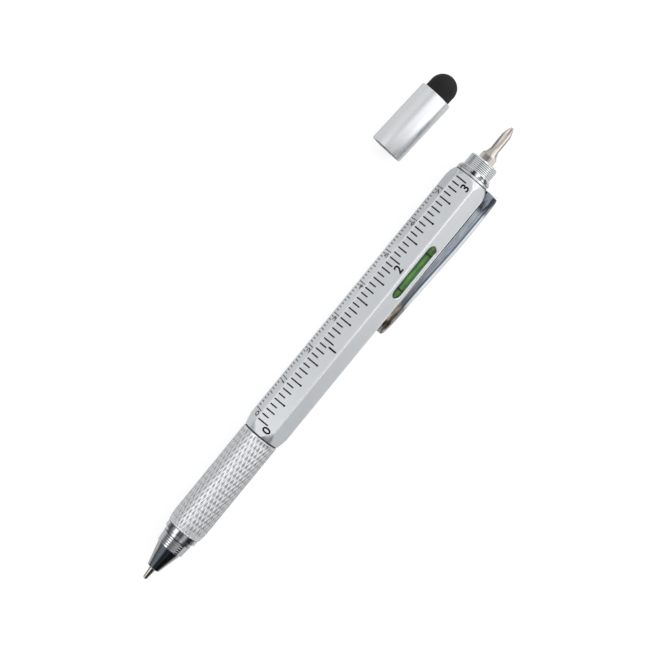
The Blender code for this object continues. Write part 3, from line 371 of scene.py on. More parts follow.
class Tree:
    """A node tree with one way to add a node: its type, its inputs, then its settings."""

    def __init__(self, nodes):
        self.nodes = nodes

    def add(self, kind, inputs=None, output=0, stops=None, **settings):
        node = self.nodes.nodes.new(kind)
        for name, value in settings.items():
            setattr(node, name, value)
        if stops:
            self.set_stops(node.color_ramp.elements, stops)
        for key, value in (inputs or {}).items():
            socket = socket_named(node.inputs, key)
            if isinstance(value, Wire):
                self.nodes.links.new(value.socket, socket)
            elif socket.type == "RGBA":
                socket.default_value = (*value, 1.0)
            else:
                socket.default_value = value
        if len(node.outputs) == 0:
            return node
        return Wire(self, socket_named(node.outputs, output))

    def set_stops(self, elements, stops):
        while len(elements) < len(stops):
            elements.new(1.0)
        for element, (place, colour) in zip(elements, stops):
            element.position = place
            element.color = (*colour, 1.0)

    def split(self, vector):
        first = self.add("ShaderNodeSeparateXYZ", {"Vector": vector})
        return first, first.out(1), first.out(2)

    def smooth(self, value, low, high):
        """0 below low, 1 above high, and an even curve between."""
        inputs = {"Value": value, "From Min": low, "From Max": high}
        return self.add("ShaderNodeMapRange", inputs, interpolation_type="SMOOTHSTEP")

    def past(self, value, place, fade):
        """0 before and 1 after a fade that is given from a place."""
        return self.smooth(value, place + fade[0], place + fade[1])

    def near(self, value, low, high):
        """1 within low of zero, and 0 further off than high."""
        return 1 - self.smooth(value.math("ABSOLUTE"), low, high)

    def blend(self, share, first, second):
        """Between two colours."""
        inputs = {"Factor": share, "A": first, "B": second}
        return self.add("ShaderNodeMix", inputs, output="Result", data_type="RGBA")

    def noise(self, vector, scale, detail=3.0, roughness=0.55):
        inputs = {"Vector": vector, "Scale": scale, "Detail": detail, "Roughness": roughness}
        return self.add("ShaderNodeTexNoise", inputs)

    def cloud(self, spot, along, around, scale, detail=3.0, roughness=0.55):
        """Noise that is drawn out along the pen or round it."""
        place = self.add("ShaderNodeVectorMath", {0: spot, 1: (along, around, around)}, operation="MULTIPLY")
        return self.noise(place, scale, detail, roughness)

    def by_turn(self, turn, rows, peak=1.0):
        """A level, as a share of its peak, by the turn, from rows of (degrees, level)."""
        stops = [(degrees / 360 + 0.5, grey(level / peak)) for degrees, level in rows]
        return self.add("ShaderNodeValToRGB", {"Fac": turn / math.tau + 0.5}, stops=stops)


def grey(level, warmth=0.0):
    """A grey, made warmer or cooler."""
    return (level * (1 + warmth), level, level * (1 - warmth))


def empty_tree(owner):
    """The node tree of a material or a world, with nothing in it yet."""
    owner.use_nodes = True
    owner.node_tree.nodes.clear()
    return Tree(owner.node_tree)


def finish(name, paint):
    """A material; paint gets the node tree and returns the shader's inputs by name."""
    made = bpy.data.materials.new(name)
    tree = empty_tree(made)
    shader = tree.add("ShaderNodeBsdfPrincipled", paint(tree))
    tree.add("ShaderNodeOutputMaterial", {"Surface": shader})
    return made


def pen_spot(tree):
    """Place on the pen in millimetres: X along it, Z out of the inch face."""
    centre = PEN_PLACE.inverted().translation * MM
    place = tree.add("ShaderNodeTexCoord", output="Object")
    return tree.add("ShaderNodeMapping", {
        "Vector": place,
        "Location": centre,
        "Rotation": (PEN_TURN, 0.0, 0.0),
        "Scale": (MM, MM, MM),
    })


def bumped(tree, height, strength, distance):
    inputs = {"Height": height, "Strength": strength, "Distance": distance}
    return tree.add("ShaderNodeBump", inputs)


def round_bands(tree, spot, rows, stray=0.0):
    """Painted share of light by the turn round the pen, standing for reflections, from rows of (degrees from
    overhead, share).
    """
    x, y, z = tree.split(spot)
    return tree.by_turn((y * -1).math("ARCTAN2", z) - PEN_TURN + stray, rows)


def dimmed(tree, colour, share):
    """A colour made darker by a share that may change over the surface."""
    return tree.add("ShaderNodeVectorMath", {0: colour, "Scale": share}, operation="SCALE")


# Finishes

def anodised_aluminium(tree):
    """Fine satin grain and glossier corners, with a painted highlight along the corners that grows towards the far
    end, painted light on the corner by the clip, each face painted lighter or darker along the pen, and painted
    shade on the turned end.
    """
    spot = pen_spot(tree)
    x, y, z = tree.split(spot)
    corner = tree.smooth((y * y + z * z) ** 0.5, *CORNER_POLISH_AND_HIGHLIGHT)
    # Painted light on the corner beside the clip
    clip_corner_light = corner * tree.smooth(y * -1, *CLIP_CORNER_SIDE)
    clip_corner_light = clip_corner_light * tree.past(x, reach_along("clip_arm")[0] * MM, CLIP_CORNER_FADE)
    slanted = (z * 0.5 - y * math.cos(LEVEL_TURN / 2)).math("MAXIMUM", z)
    turned_end = tree.smooth(x, *TURNED_END) * (1 - tree.past(slanted, BARREL_FLAT * MM, TURNED_FLAT_FADE))
    along = tree.smooth(x, *BARREL_FADE)
    level_face = tree.smooth(y * -1, *SIDE_FACE)
    far_face = tree.smooth(y, *SIDE_FACE)
    inch_face = tree.smooth(z, *INCH_FACE)
    front = 1 - tree.smooth(x, *INCH_FRONT)
    near_half = 1 - tree.smooth(x, *INCH_HALF)
    end_line = tree.past(x, reach_along("barrel_shell")[1] * MM, BARREL_END_LINE)
    # Painted highlight along the corners, brighter towards the far end
    corner_highlight = corner * (along * 0.35 + 0.40)
    grain = tree.noise(spot, 9.0, 4.0, 0.7)
    tone = tree.blend(tree.cloud(spot, 0.25, 1.0, 0.5), grey(0.69, -0.03), grey(0.75, -0.035))
    # Painted light and shade: each face lighter or darker, changing along the pen
    tone = dimmed(tree, tone, 1 + level_face * (along * 0.24 - 0.175) + far_face * (0.05 + along * 0.12)
                  + inch_face * (front * 0.30 + near_half * 0.06 - along * 0.02))
    tone = tree.blend(corner_highlight, tone, grey(0.84, -0.01))
    tone = tree.blend(clip_corner_light, tone, grey(0.90))
    # Painted shade on the turned end
    tone = dimmed(tree, tone, 1 - turned_end * 0.16)
    return {
        "Base Color": tree.blend(end_line * 0.85, tone, grey(0.03)),
        "Metallic": 1 - corner_highlight - clip_corner_light * 0.2,
        "Roughness": 0.30 + grain * 0.12 - corner * 0.10,
        "Normal": bumped(tree, grain, 0.12, 0.00002),
    }


def knurled_aluminium(tree):
    """Fine bright crests with darker, rougher pits between them, painted reflections in bands round the grip, and
    painted light on its front.
    """
    spot = pen_spot(tree)
    relief = tree.add("ShaderNodeAttribute", attribute_name="relief", output="Fac")
    grain = tree.cloud(spot, 1.4, 4.0, 2.0, 4.0, 0.6)
    uneven = relief + (grain - 0.5) * 0.5
    x = tree.split(spot)[0]
    front = 1 - tree.past(x, reach_along("grip_tube")[0] * MM, KNURL_FRONT)
    crest = tree.smooth(uneven, 0.55, 0.85)
    pit = tree.smooth(uneven, 0.05, 0.45)
    floor = tree.blend(pit, grey(0.34, -0.03), grey(0.66, -0.03))
    tone = tree.blend(crest, floor, grey(0.95, -0.02))
    return {
        # Painted reflections in bands round the grip, and painted light towards its front
        "Base Color": dimmed(tree, tone, round_bands(tree, spot, GRIP_BANDS) * (1 + front * 0.07)),
        "Metallic": 1 - front * 0.45,
        "Roughness": 0.38 - crest * 0.16 + grain * 0.06,
        "Normal": bumped(tree, grain, 0.25, 0.00003),
    }


def chrome(tree):
    """Mirror plate with faint wipe marks."""
    spot = pen_spot(tree)
    wipe = tree.cloud(spot, 0.4, 2.0, 1.5, 4.0, 0.6)
    fine = tree.noise(spot, 14.0, 2.0)
    return {
        "Base Color": tree.blend(wipe, grey(0.54, -0.035), grey(0.63, -0.03)),
        "Metallic": 1.0,
        "Roughness": 0.05 + wipe * 0.05,
        "Normal": bumped(tree, fine, 0.03, 0.00001),
    }


def nose_chrome(tree):
    """Chrome of the nose with painted reflections: dark towards the sides of the cone, the neck and the ring, and
    painted shade along its grooves and steps.
    """
    inputs = chrome(tree)
    spot = pen_spot(tree)
    x, y, z = tree.split(spot)
    band = (reach_along("nose_cone")[0] + NOSE_CONE_LENGTH) * MM
    neck = band + NOSE_BAND_LENGTH * MM
    stray = (tree.cloud(spot, 0.5, 1.5, 1.0, 2.0) - 0.5) * 0.10
    # Painted reflections: dark and light bands round the cone, the grooved band and the ring
    tables = (CONE_BANDS, GROOVED_BANDS, RING_BANDS)
    cone, grooved, ring = (round_bands(tree, spot, rows, stray) for rows in tables)
    # Painted shade along the grooves, stronger on the side that faces up
    groove = ((x - band) * NOSE_GROOVES / (neck - band) + 0.5).math("FRACT") - 0.5
    line = tree.near(groove, *GROOVE_LINE)
    line = line * (0.25 + tree.smooth(z / (y * y + z * z) ** 0.5, *GROOVE_SHOWN) * 0.75)
    grooved = dimmed(tree, grooved, 1.35 - line * 0.90)
    share = tree.blend(tree.past(x, band, CONE_SEAM), cone, grooved)
    share = tree.blend(tree.past(x, neck, PLATE_SEAM), share, ring)
    # Painted shade lines at the steps before the neck and the ring
    neck_line = tree.near(x - neck, *NECK_LINE)
    ring_line = tree.near(x - neck - NOSE_NECK_LENGTH * MM, *RING_LINE)
    share = dimmed(tree, share, 1 - neck_line * 0.55 - ring_line * 0.5)
    inputs["Base Color"] = dimmed(tree, inputs["Base Color"], share)
    return inputs


def spring_chrome(tree):
    """Chrome of the clip with its reflections painted on: blue-grey walls, lighter near the barrel and at their
    root, a dark line below a lighter rim, a dark head with blotches, and warm blotches on the foot with a greyer
    toe.
    """
    spot = pen_spot(tree)
    x, y, z = tree.split(spot)
    lift = y * -math.cos(LEVEL_TURN / 2) - z * math.sin(LEVEL_TURN / 2)
    start, end = (place * MM for place in reach_along("clip_arm"))
    toe_end, flatter_end = ([place * MM for place in places] for places in (CLIP_TOE_END, CLIP_FLATTER_END))
    flatter = tree.smooth(x, *toe_end) * (1 - tree.smooth(x, *flatter_end)) * CLIP_FLATTER
    depth = CLIP_TOP - (end - x) * CLIP_SLOPE - flatter * CLIP_HEIGHT * MM - lift
    cloud = tree.cloud(spot, 0.35, 1.2, 0.9, 4.0, 0.6)
    streak = tree.cloud(spot, 0.05, 1.6, 1.6, 3.0, 0.6)
    blotch = tree.cloud(spot, 0.30, 1.1, 0.9, 3.0, 0.6)
    head = tree.past(x, end, CLIP_HEAD)
    foot = 1 - tree.past(x, start, CLIP_FOOT)
    share = (cloud + streak) / 2
    # Painted reflection on the walls, darker towards the foot
    wall = tree.blend(tree.smooth(share, 0.36, 0.64), (0.155, 0.175, 0.205), (0.265, 0.292, 0.322))
    wall = dimmed(tree, wall, 0.44 + tree.past(x, start, CLIP_WALL) * 0.55)
    # Painted warm reflection on the foot, darker further from its end, greyer at the toe
    foot_reflection = tree.blend(tree.smooth(blotch, 0.42, 0.54), (0.11, 0.09, 0.07), (0.50, 0.44, 0.35))
    foot_reflection = dimmed(tree, foot_reflection, 1 - tree.past(x, start, CLIP_FOOT_REFLECTION) * 0.55)
    toe = 1 - tree.past(x, start, CLIP_TOE)
    foot_reflection = tree.blend(toe * 0.7, foot_reflection, (0.36, 0.37, 0.36))
    # Painted dark reflection on the head, with blotches
    head_reflection = tree.blend(tree.smooth(blotch, 0.40, 0.60), (0.026, 0.030, 0.036), (0.15, 0.17, 0.195))
    # Painted light at the root of the walls and near the barrel
    lit_root = (1 - tree.past(lift, BARREL_FLAT * MM, CLIP_ROOT)) * (1 - head)
    wall = tree.blend(tree.smooth(depth, *CLIP_WALL_DEPTH) * 0.6, wall, (0.43, 0.46, 0.49))
    wall = tree.blend(lit_root, wall, (0.58, 0.61, 0.65))
    shown = tree.blend(foot, tree.blend(head, wall, head_reflection), foot_reflection)
    # Painted dark line below the rim
    line = tree.smooth(depth, *CLIP_LINE_START) * (1 - tree.smooth(depth, *CLIP_LINE_END))
    shown = tree.blend(line * 0.80, shown, (0.040, 0.045, 0.055))
    # Painted highlight on the rim
    rim = (1 - tree.smooth(depth, *CLIP_RIM_DEPTH)) * (1 - head * 0.85) * (1 - foot * 0.7)
    edge = tree.blend(tree.smooth(depth, *CLIP_EDGE_DEPTH), (0.80, 0.82, 0.84), (0.40, 0.44, 0.50))
    return {
        "Base Color": tree.blend(rim, shown, edge),
        "Metallic": 1 - toe * 0.5 - lit_root * 0.5,
        "Roughness": 0.10 + cloud * 0.10,
        "Normal": bumped(tree, cloud, 0.08, 0.00004),
    }


def threaded_chrome(tree):
    """Chrome with darker, rougher roots in its thread, and painted reflections in bands round the collar."""
    inputs = chrome(tree)
    spot = pen_spot(tree)
    x = tree.split(spot)[0]
    collar_end = (reach_along("bit_socket")[1] - STUD_LENGTH) * MM
    relief = tree.add("ShaderNodeAttribute", attribute_name="relief", output="Fac")
    crest = tree.smooth(relief, 0.2, 0.8)
    thread = tree.blend(crest, grey(0.46, -0.03), grey(0.80, -0.02))
    stray = (tree.cloud(spot, 1.6, 0.9, 1.1, 2.0) - 0.5) * 0.35
    # Painted reflections in bands round the collar
    collar_reflection = dimmed(tree, round_bands(tree, spot, COLLAR_BANDS, stray), 0.8)
    inputs["Base Color"] = tree.blend(tree.past(x, collar_end, PLATE_SEAM), collar_reflection, thread)
    inputs["Roughness"] = 0.20 - crest * 0.08
    return inputs


def nickel(tree):
    """Warm plate with fine turning marks."""
    spot = pen_spot(tree)
    marks = tree.cloud(spot, 6.0, 0.6, 2.0, 3.0)
    stain = tree.noise(spot, 0.9, 3.0)
    return {
        "Base Color": tree.blend(stain, (0.60, 0.54, 0.49), (0.74, 0.70, 0.66)),
        "Metallic": 1.0,
        "Roughness": 0.14 + marks * 0.12,
        "Normal": bumped(tree, marks, 0.10, 0.00002),
    }


def bit_nickel(tree):
    """Nickel of the bit with painted reflections: dark on the face of the hexagon that looks up, bright beside it,
    and bands along the shaft.
    """
    inputs = nickel(tree)
    spot = pen_spot(tree)
    x = tree.split(spot)[0]
    hexagon_end = reach_along("bit_socket")[1] * MM + BIT_HEX_REACH * MM
    stray = (tree.cloud(spot, 0.4, 2.0, 1.6, 3.0) - 0.5) * 0.16
    # Painted reflections in bands round the hexagon and the shaft
    hexagon = round_bands(tree, spot, HEX_BANDS, stray)
    shaft = round_bands(tree, spot, SHAFT_BANDS, stray)
    share = tree.blend(tree.past(x, hexagon_end, HEXAGON_SEAM), hexagon, shaft)
    inputs["Base Color"] = dimmed(tree, inputs["Base Color"], share)
    return inputs


def point_nickel(tree):
    """Nickel of the writing point with painted reflections: dark below a painted bright streak."""
    inputs = nickel(tree)
    spot = pen_spot(tree)
    stray = (tree.cloud(spot, 0.5, 2.0, 1.8, 3.0) - 0.5) * 0.35
    # Painted reflection: a bright streak with dark below it
    share = round_bands(tree, spot, POINT_BANDS, stray)
    inputs["Base Color"] = dimmed(tree, inputs["Base Color"], share)
    return inputs


def even_finish(grain, first, second, roughness, spread, bump=None, **fixed):
    """A finish whose colour, gloss and relief all follow one fine grain.

    The grain is what cloud takes after the spot, and bump is a strength and a distance.
    """
    def paint(tree):
        marks = tree.cloud(pen_spot(tree), *grain)
        inputs = {name.replace("_", " "): value for name, value in fixed.items()}
        inputs["Base Color"] = tree.blend(marks, first, second)
        inputs["Roughness"] = marks * spread + roughness
        if bump:
            inputs["Normal"] = bumped(tree, marks, *bump)
        return inputs
    return paint


def satin_silver(tree):
    """Silver lacquer with a fine metal flake and a soft gloss."""
    spot = pen_spot(tree)
    flake = tree.noise(spot, 16.0, 2.0, 0.8)
    cloud = tree.cloud(spot, 0.3, 2.0, 0.5)
    return {
        "Base Color": tree.blend(flake, grey(0.70, -0.025), grey(0.80, -0.02)),
        "Metallic": 1.0,
        "Roughness": 0.21 + flake * 0.06 + cloud * 0.01,
        "Normal": bumped(tree, flake, 0.06, 0.00001),
        "Coat Weight": 0.3,
        "Coat Roughness": 0.12,
    }


def black_rubber(tree):
    """Matt rubber with a little dust."""
    spot = pen_spot(tree)
    skin = tree.noise(spot, 12.0, 4.0, 0.6)
    dust = tree.noise(spot, 1.2, 4.0, 0.6)
    return {
        "Base Color": tree.blend(dust, grey(0.008), grey(0.015)),
        "Roughness": 0.66 + skin * 0.2,
        "Specular IOR Level": 0.3,
        "Normal": bumped(tree, skin, 0.25, 0.00003),
    }


def green_liquid(tree):
    """Green level liquid with painted light: yellow along its middle and deeper green at its sides."""
    spot = pen_spot(tree)
    x, y, z = tree.split(spot)
    across = y * math.cos(LEVEL_TURN) + z * math.sin(LEVEL_TURN)
    flow = tree.cloud(spot, 0.3, 1.0, 1.1, 3.0)
    # Painted light and shade across the liquid: bright middle, darker sides
    colour = tree.add("ShaderNodeValToRGB", {"Fac": across / LEVEL_WIDTH + 0.5 + (flow - 0.5) * 0.3}, stops=(
        (0.10, (0.060, 0.200, 0.030)),
        (0.45, (0.230, 0.420, 0.070)),
        (0.60, (0.120, 0.330, 0.050)),
        (0.95, (0.040, 0.170, 0.035)),
    ))
    return {
        "Base Color": colour,
        "Roughness": 0.06 + flow * 0.06,
        "Coat Weight": 0.6,
    }


def tinted_lens(tree):
    """Window over the green vial, mostly opaque, painted with the vial's green and its two lines: painted light
    and shade across it, a painted highlight along its middle, painted light fading towards its ends, and darker
    cloudy patches.
    """
    spot = pen_spot(tree)
    x, y, z = tree.split(spot)
    start, end = reach_along("level_lens")
    along = (x - (start + end) / 2 * MM).math("ABSOLUTE")
    across = y * math.cos(LEVEL_TURN) + z * math.sin(LEVEL_TURN)
    flow = tree.cloud(spot, 0.3, 1.0, 1.0)
    # Painted highlight along the middle
    lens_highlight = tree.smooth(tree.cloud(spot, 0.22, 0.5, 1.0, 2.0), 0.50, 0.62) * tree.near(across, *LEVEL_HIGHLIGHT)
    murk = tree.smooth(tree.cloud(spot, 0.5, 1.0, 0.7, 2.0), 0.54, 0.66)
    # Painted light and shade across the window: bright middle, darker sides, a paler strip at one edge
    colour = tree.add("ShaderNodeValToRGB", {"Fac": across / LEVEL_WIDTH + 0.5 + (flow - 0.5) * 0.45}, stops=(
        (0.03, (0.105, 0.165, 0.100)),
        (0.14, (0.070, 0.140, 0.060)),
        (0.26, (0.036, 0.115, 0.034)),
        (0.42, (0.070, 0.215, 0.046)),
        (0.58, (0.120, 0.250, 0.058)),
        (0.78, (0.036, 0.130, 0.034)),
        (0.97, (0.022, 0.070, 0.024)),
    ))
    # Painted light, brightest at the middle and fading towards the ends
    lit = 1.25 - tree.smooth(along, *LEVEL_LIT) * 0.55
    line = tree.near(along - LEVEL_LINE_APART / 2 * MM, *LEVEL_LINE)
    # The lines are a little darker towards one side
    line = line * (0.80 + tree.smooth(across, *LEVEL_LINE_SHOWN) * 0.20)
    shown = dimmed(tree, tree.blend(lens_highlight * 0.55, colour, (0.24, 0.31, 0.05)), lit * (1 - murk * 0.45))
    return {
        "Base Color": tree.blend(line, shown, (0.003, 0.012, 0.003)),
        "Roughness": 0.10 + flow * 0.06,
        "Alpha": 0.90 + line * 0.10,
        "Specular IOR Level": 0.12,
        "Coat Weight": 0.1,
        "Coat Roughness": 0.05,
    }


PAINTS = {
    "anodised_aluminium": anodised_aluminium,
    "knurled_aluminium": knurled_aluminium,
    "satin_silver": satin_silver,
    "chrome": chrome,
    "nickel": nickel,
    "brass": even_finish(
        (8.0, 0.5, 2.0), (0.60, 0.42, 0.18), (0.80, 0.62, 0.32), 0.24, 0.16, (0.10, 0.00002), Metallic=1.0,
    ),
    "steel": even_finish(
        (5.0, 0.6, 2.0), grey(0.46, -0.01), grey(0.62, -0.01), 0.22, 0.16, (0.10, 0.00002), Metallic=1.0,
    ),
    "black_plastic": even_finish((1.0, 1.0, 6.0), grey(0.014), grey(0.028), 0.36, 0.18, (0.15, 0.00002)),
    "white_plastic": even_finish(
        (1.0, 1.0, 3.0), (0.74, 0.77, 0.68), (0.84, 0.86, 0.78), 0.34, 0.16, (0.15, 0.00002),
    ),
    "clear_acrylic": even_finish(
        (1.0, 1.0, 1.5), (0.70, 0.84, 0.62), (0.82, 0.92, 0.74), 0.03, 0.04,
        Alpha=0.16, IOR=1.49, Coat_Weight=1.0, Coat_Roughness=0.03,
    ),
    "green_liquid": green_liquid,
    "black_rubber": black_rubber,
}
FINISHES = {slot: finish(slot + "_finish", paint) for slot, paint in PAINTS.items()}

# Black pad print, and the thinner grey print of the centimetre scale
PRINT_INK = finish("print_ink", even_finish(
    (1.0, 1.0, 5.0, 4.0, 0.7), grey(0.002), grey(0.006), 0.55, 0.2, (0.10, 0.00001), Specular_IOR_Level=0.1,
))
FADED_INK = finish("faded_ink", even_finish(
    (1.0, 1.0, 4.0, 4.0, 0.7), grey(0.06, -0.02), grey(0.14, -0.02), 0.45, 0.2, Specular_IOR_Level=0.3,
))
THREADED_CHROME = finish("threaded_chrome", threaded_chrome)
TINTED_LENS = finish("tinted_lens", tinted_lens)
SPRING_CHROME = finish("spring_chrome", spring_chrome)
NOSE_CHROME = finish("nose_chrome", nose_chrome)
BIT_NICKEL = finish("bit_nickel", bit_nickel)
POINT_NICKEL = finish("point_nickel", point_nickel)


# Meshes

def new_object(name, data):
    """An object in the scene's collection."""
    made = bpy.data.objects.new(name, data)
    bpy.context.scene.collection.objects.link(made)
    return made


def piece_of(name, mesh, material, place=None):
    """An object at the origin, with its place in its mesh."""
    if place is not None:
        mesh.transform(place)
    mesh.materials.clear()
    mesh.materials.append(material)
    return new_object(name, mesh)


def shaded_mesh(shape, name, sharp=SHARP_EDGE):
    """A mesh from a bmesh, smooth between its sharp edges."""
    mesh = bpy.data.meshes.new(name)
    shape.to_mesh(mesh)
    shape.free()
    mesh.shade_smooth()
    mesh.set_sharp_from_angle(angle=sharp)
    return mesh


def mesh_of(shape, name, sharp=SHARP_EDGE):
    """A mesh from a bmesh, with merged points, faces pointing out and sharp edges kept."""
    bmesh.ops.remove_doubles(shape, verts=shape.verts, dist=WELD)
    bmesh.ops.recalc_face_normals(shape, faces=shape.faces)
    return shaded_mesh(shape, name, sharp)


def turned(rows, sides, flat_ends=False):
    """A body round X from (place along, radius) rows; a radius may be a function of the angle.

    The rows go round a section and close on themselves, unless the body has flat ends.
    """
    shape = bmesh.new()
    rings = []
    for along, radius in rows:
        ring = []
        for side in range(sides):
            angle = math.tau * side / sides
            reach = radius(angle) if callable(radius) else radius
            ring.append(shape.verts.new((along, reach * math.cos(angle), reach * math.sin(angle))))
        rings.append(ring)
    following = rings[1:] if flat_ends else rings[1:] + rings[:1]
    for first, second in zip(rings, following):
        for side in range(sides):
            after = (side + 1) % sides
            shape.faces.new((first[side], first[after], second[after], second[side]))
    if flat_ends:
        shape.faces.new(rings[0])
        shape.faces.new(rings[-1])
    return shape


def arc(centre, radius, start, end, steps):
    """Points on an arc, with angles in degrees from the direction along X."""
    points = []
    for step in range(steps + 1):
        angle = math.radians(start + (end - start) * step / steps)
        points.append((centre[0] + radius * math.cos(angle), centre[1] + radius * math.sin(angle)))
    return points


def evaluated_mesh(piece):
    """The piece's mesh with its modifiers applied, as a plain mesh."""
    bpy.context.view_layer.update()
    graph = bpy.context.evaluated_depsgraph_get()
    return bpy.data.meshes.new_from_object(piece.evaluated_get(graph))


def applied(piece):
    """The piece with its modifiers applied to its mesh."""
    mesh = evaluated_mesh(piece)
    piece.modifiers.clear()
    piece.data = mesh
    return piece


def grown(piece, tree, **sizes):
    """Run a geometry tree on a piece with its named sizes, and keep the result as a plain mesh."""
    modifier = piece.modifiers.new(tree.name, "NODES")
    modifier.node_group = tree
    for item in tree.interface.items_tree:
        if item.item_type == "SOCKET" and item.in_out == "INPUT" and item.name in sizes:
            modifier[item.identifier] = sizes[item.name]
    return applied(piece)


def smooth_copy(node, name, body, bevel=0.0, material=None):
    """A copy of a CAD node with merged points, clean flats and even shading."""
    shape = bmesh.new()
    shape.from_mesh(frame["nodes"][node].data)
    bmesh.ops.remove_doubles(shape, verts=shape.verts, dist=WELD)
    bmesh.ops.dissolve_limit(shape, angle_limit=FLAT_ANGLE, verts=shape.verts, edges=shape.edges)
    slot = slot_of(node)
    made = piece_of(name, shaded_mesh(shape, name), material or FINISHES[slot])
    if bevel:
        round_off = made.modifiers.new("round", "BEVEL")
        round_off.width = bevel
        round_off.segments = ROUND_SEGMENTS
        round_off.limit_method = "ANGLE"
        round_off.angle_limit = SHARP_EDGE
    even = made.modifiers.new("even", "WEIGHTED_NORMAL")
    even.keep_sharp = True
    return seated(applied(made), body, slot, node)


def seated(piece, body, slot, *nodes):
    """The piece rides on its body and stands for its CAD nodes, which are hidden; its slot is not used."""
    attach(piece, body)
    if nodes:
        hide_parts(*nodes)
    return piece


def slot_of(node):
    rows = frame["record"]["subparts"]
    return next(row["material_slot"] for row in rows if row["node"] == node)


# Geometry trees

def geometry_tree(name, **inputs):
    """A geometry node tree with named inputs, as (tree, node tree helper, wires by name)."""
    group = bpy.data.node_groups.new(name, "GeometryNodeTree")
    face = group.interface
    face.new_socket("Geometry", in_out="INPUT", socket_type="NodeSocketGeometry")
    face.new_socket("Geometry", in_out="OUTPUT", socket_type="NodeSocketGeometry")
    for label, kind in inputs.items():
        face.new_socket(label, in_out="INPUT", socket_type="NodeSocket" + kind)
    tree = Tree(group)
    start = tree.add("NodeGroupInput")
    wires = {label: start.out(label) for label in inputs}
    wires["Geometry"] = start
    return group, tree, wires


def end_geometry(tree, geometry, material):
    """Ends a geometry tree with real faces in their material."""
    real = tree.add("GeometryNodeRealizeInstances", {"Geometry": geometry})
    done = tree.add("GeometryNodeSetMaterial", {"Geometry": real, "Material": material})
    tree.add("NodeGroupOutput", {"Geometry": done})


def helical_relief():
    """Cuts ridges into a turned body: rings, a thread, or two crossing sets that make a knurl."""
    group, tree, given = geometry_tree(
        "helical_relief", Start="Float", End="Float", Inside="Float", Depth="Float", Period="Float",
        Starts="Float", Crossed="Float", Crest="Float", Fade="Float", Material="Material",
    )
    place = tree.add("GeometryNodeInputPosition")
    x, y, z = tree.split(place)
    radius = (y * y + z * z) ** 0.5
    turn = z.math("ARCTAN2", y) / math.tau * given["Starts"]
    forward = ((x - given["Start"]) / given["Period"] + turn).math("FRACT")
    backward = ((x - given["Start"]) / given["Period"] - turn).math("FRACT")
    forward_ridge = (forward - 0.5).math("ABSOLUTE") * 2
    backward_ridge = (backward - 0.5).math("ABSOLUTE") * 2 * given["Crossed"]
    ridge = forward_ridge.math("MAXIMUM", backward_ridge) ** given["Crest"]
    near = tree.smooth(x, given["Start"], given["Start"] + given["Fade"])
    far = tree.smooth(x, given["End"], given["End"] - given["Fade"])
    outside = tree.smooth(radius, given["Inside"], given["Inside"] * RELIEF_STARTS_ABOVE)
    share = near * far * outside
    sink = (ridge - 1) * share * given["Depth"] / radius
    outward = tree.add("ShaderNodeCombineXYZ", {"X": 0.0, "Y": y, "Z": z})
    offset = tree.add("ShaderNodeVectorMath", {0: outward, "Scale": sink}, operation="SCALE")
    noted = tree.add("GeometryNodeStoreNamedAttribute", {
        "Geometry": given["Geometry"], "Name": "relief", "Value": 1 + (ridge - 1) * share,
    }, domain="POINT", data_type="FLOAT")
    moved = tree.add("GeometryNodeSetPosition", {"Geometry": noted, "Offset": offset})
    end_geometry(tree, moved, given["Material"])
    return group


def ruler_ticks():
    """A row of printed lines, longer at every second, fourth and whole division, with end dots."""
    group, tree, given = geometry_tree(
        "ruler_ticks", Count="Int", Pitch="Float", Width="Float", Height="Float",
        Shortest="Float", Second="Float", Fourth="Float", Whole="Float",
        SecondStep="Float", FourthStep="Float", WholeStep="Float", DotRadius="Float",
        Material="Material",
    )
    apart = tree.add("ShaderNodeCombineXYZ", {"X": given["Pitch"]})
    row = tree.add("GeometryNodeMeshLine", {"Count": given["Count"], "Offset": apart})
    index = tree.add("GeometryNodeInputIndex")

    def falls_on(step):
        return (index % given[step]).math("LESS_THAN", 0.5)

    second, fourth, whole = (falls_on(step) for step in ("SecondStep", "FourthStep", "WholeStep"))
    length = given["Shortest"] + second * (given["Second"] - given["Shortest"])
    length = length + fourth * (given["Fourth"] - length)
    length = length + whole * (given["Whole"] - length)
    middle = tree.add("ShaderNodeCombineXYZ", {"Y": length / -2})
    line_places = tree.add("GeometryNodeSetPosition", {"Geometry": row, "Offset": middle})
    block = tree.add("GeometryNodeMeshCube", {"Size": (1.0, 1.0, 1.0)})
    size = tree.add("ShaderNodeCombineXYZ", {"X": given["Width"], "Y": length, "Z": given["Height"]})
    lines = tree.add("GeometryNodeInstanceOnPoints", {
        "Points": line_places, "Instance": block, "Scale": size,
    })
    end = tree.add("ShaderNodeCombineXYZ", {"Y": length * -1})
    dot_places = tree.add("GeometryNodeSetPosition", {"Geometry": row, "Offset": end})
    disc = tree.add("GeometryNodeMeshCylinder", {
        "Vertices": DOT_SIDES, "Radius": given["DotRadius"], "Depth": given["Height"] * DOT_RISE,
    })
    chosen = fourth * (1 - whole) * given["DotRadius"].math("GREATER_THAN", 0.0)
    dots = tree.add("GeometryNodeInstanceOnPoints", {
        "Points": dot_places, "Selection": chosen.math("GREATER_THAN", 0.5), "Instance": disc,
    })
    both = tree.add("GeometryNodeJoinGeometry")
    for part in (lines, dots):
        tree.nodes.links.new(part.socket, both.socket.node.inputs[0])
    end_geometry(tree, both, given["Material"])
    return group


RELIEF = helical_relief()
TICKS = ruler_ticks()


# Grip and nose

def steps_between(start, end, pitch):
    count = max(1, round((end - start) / pitch))
    return [start + (end - start) * step / count for step in range(count + 1)]


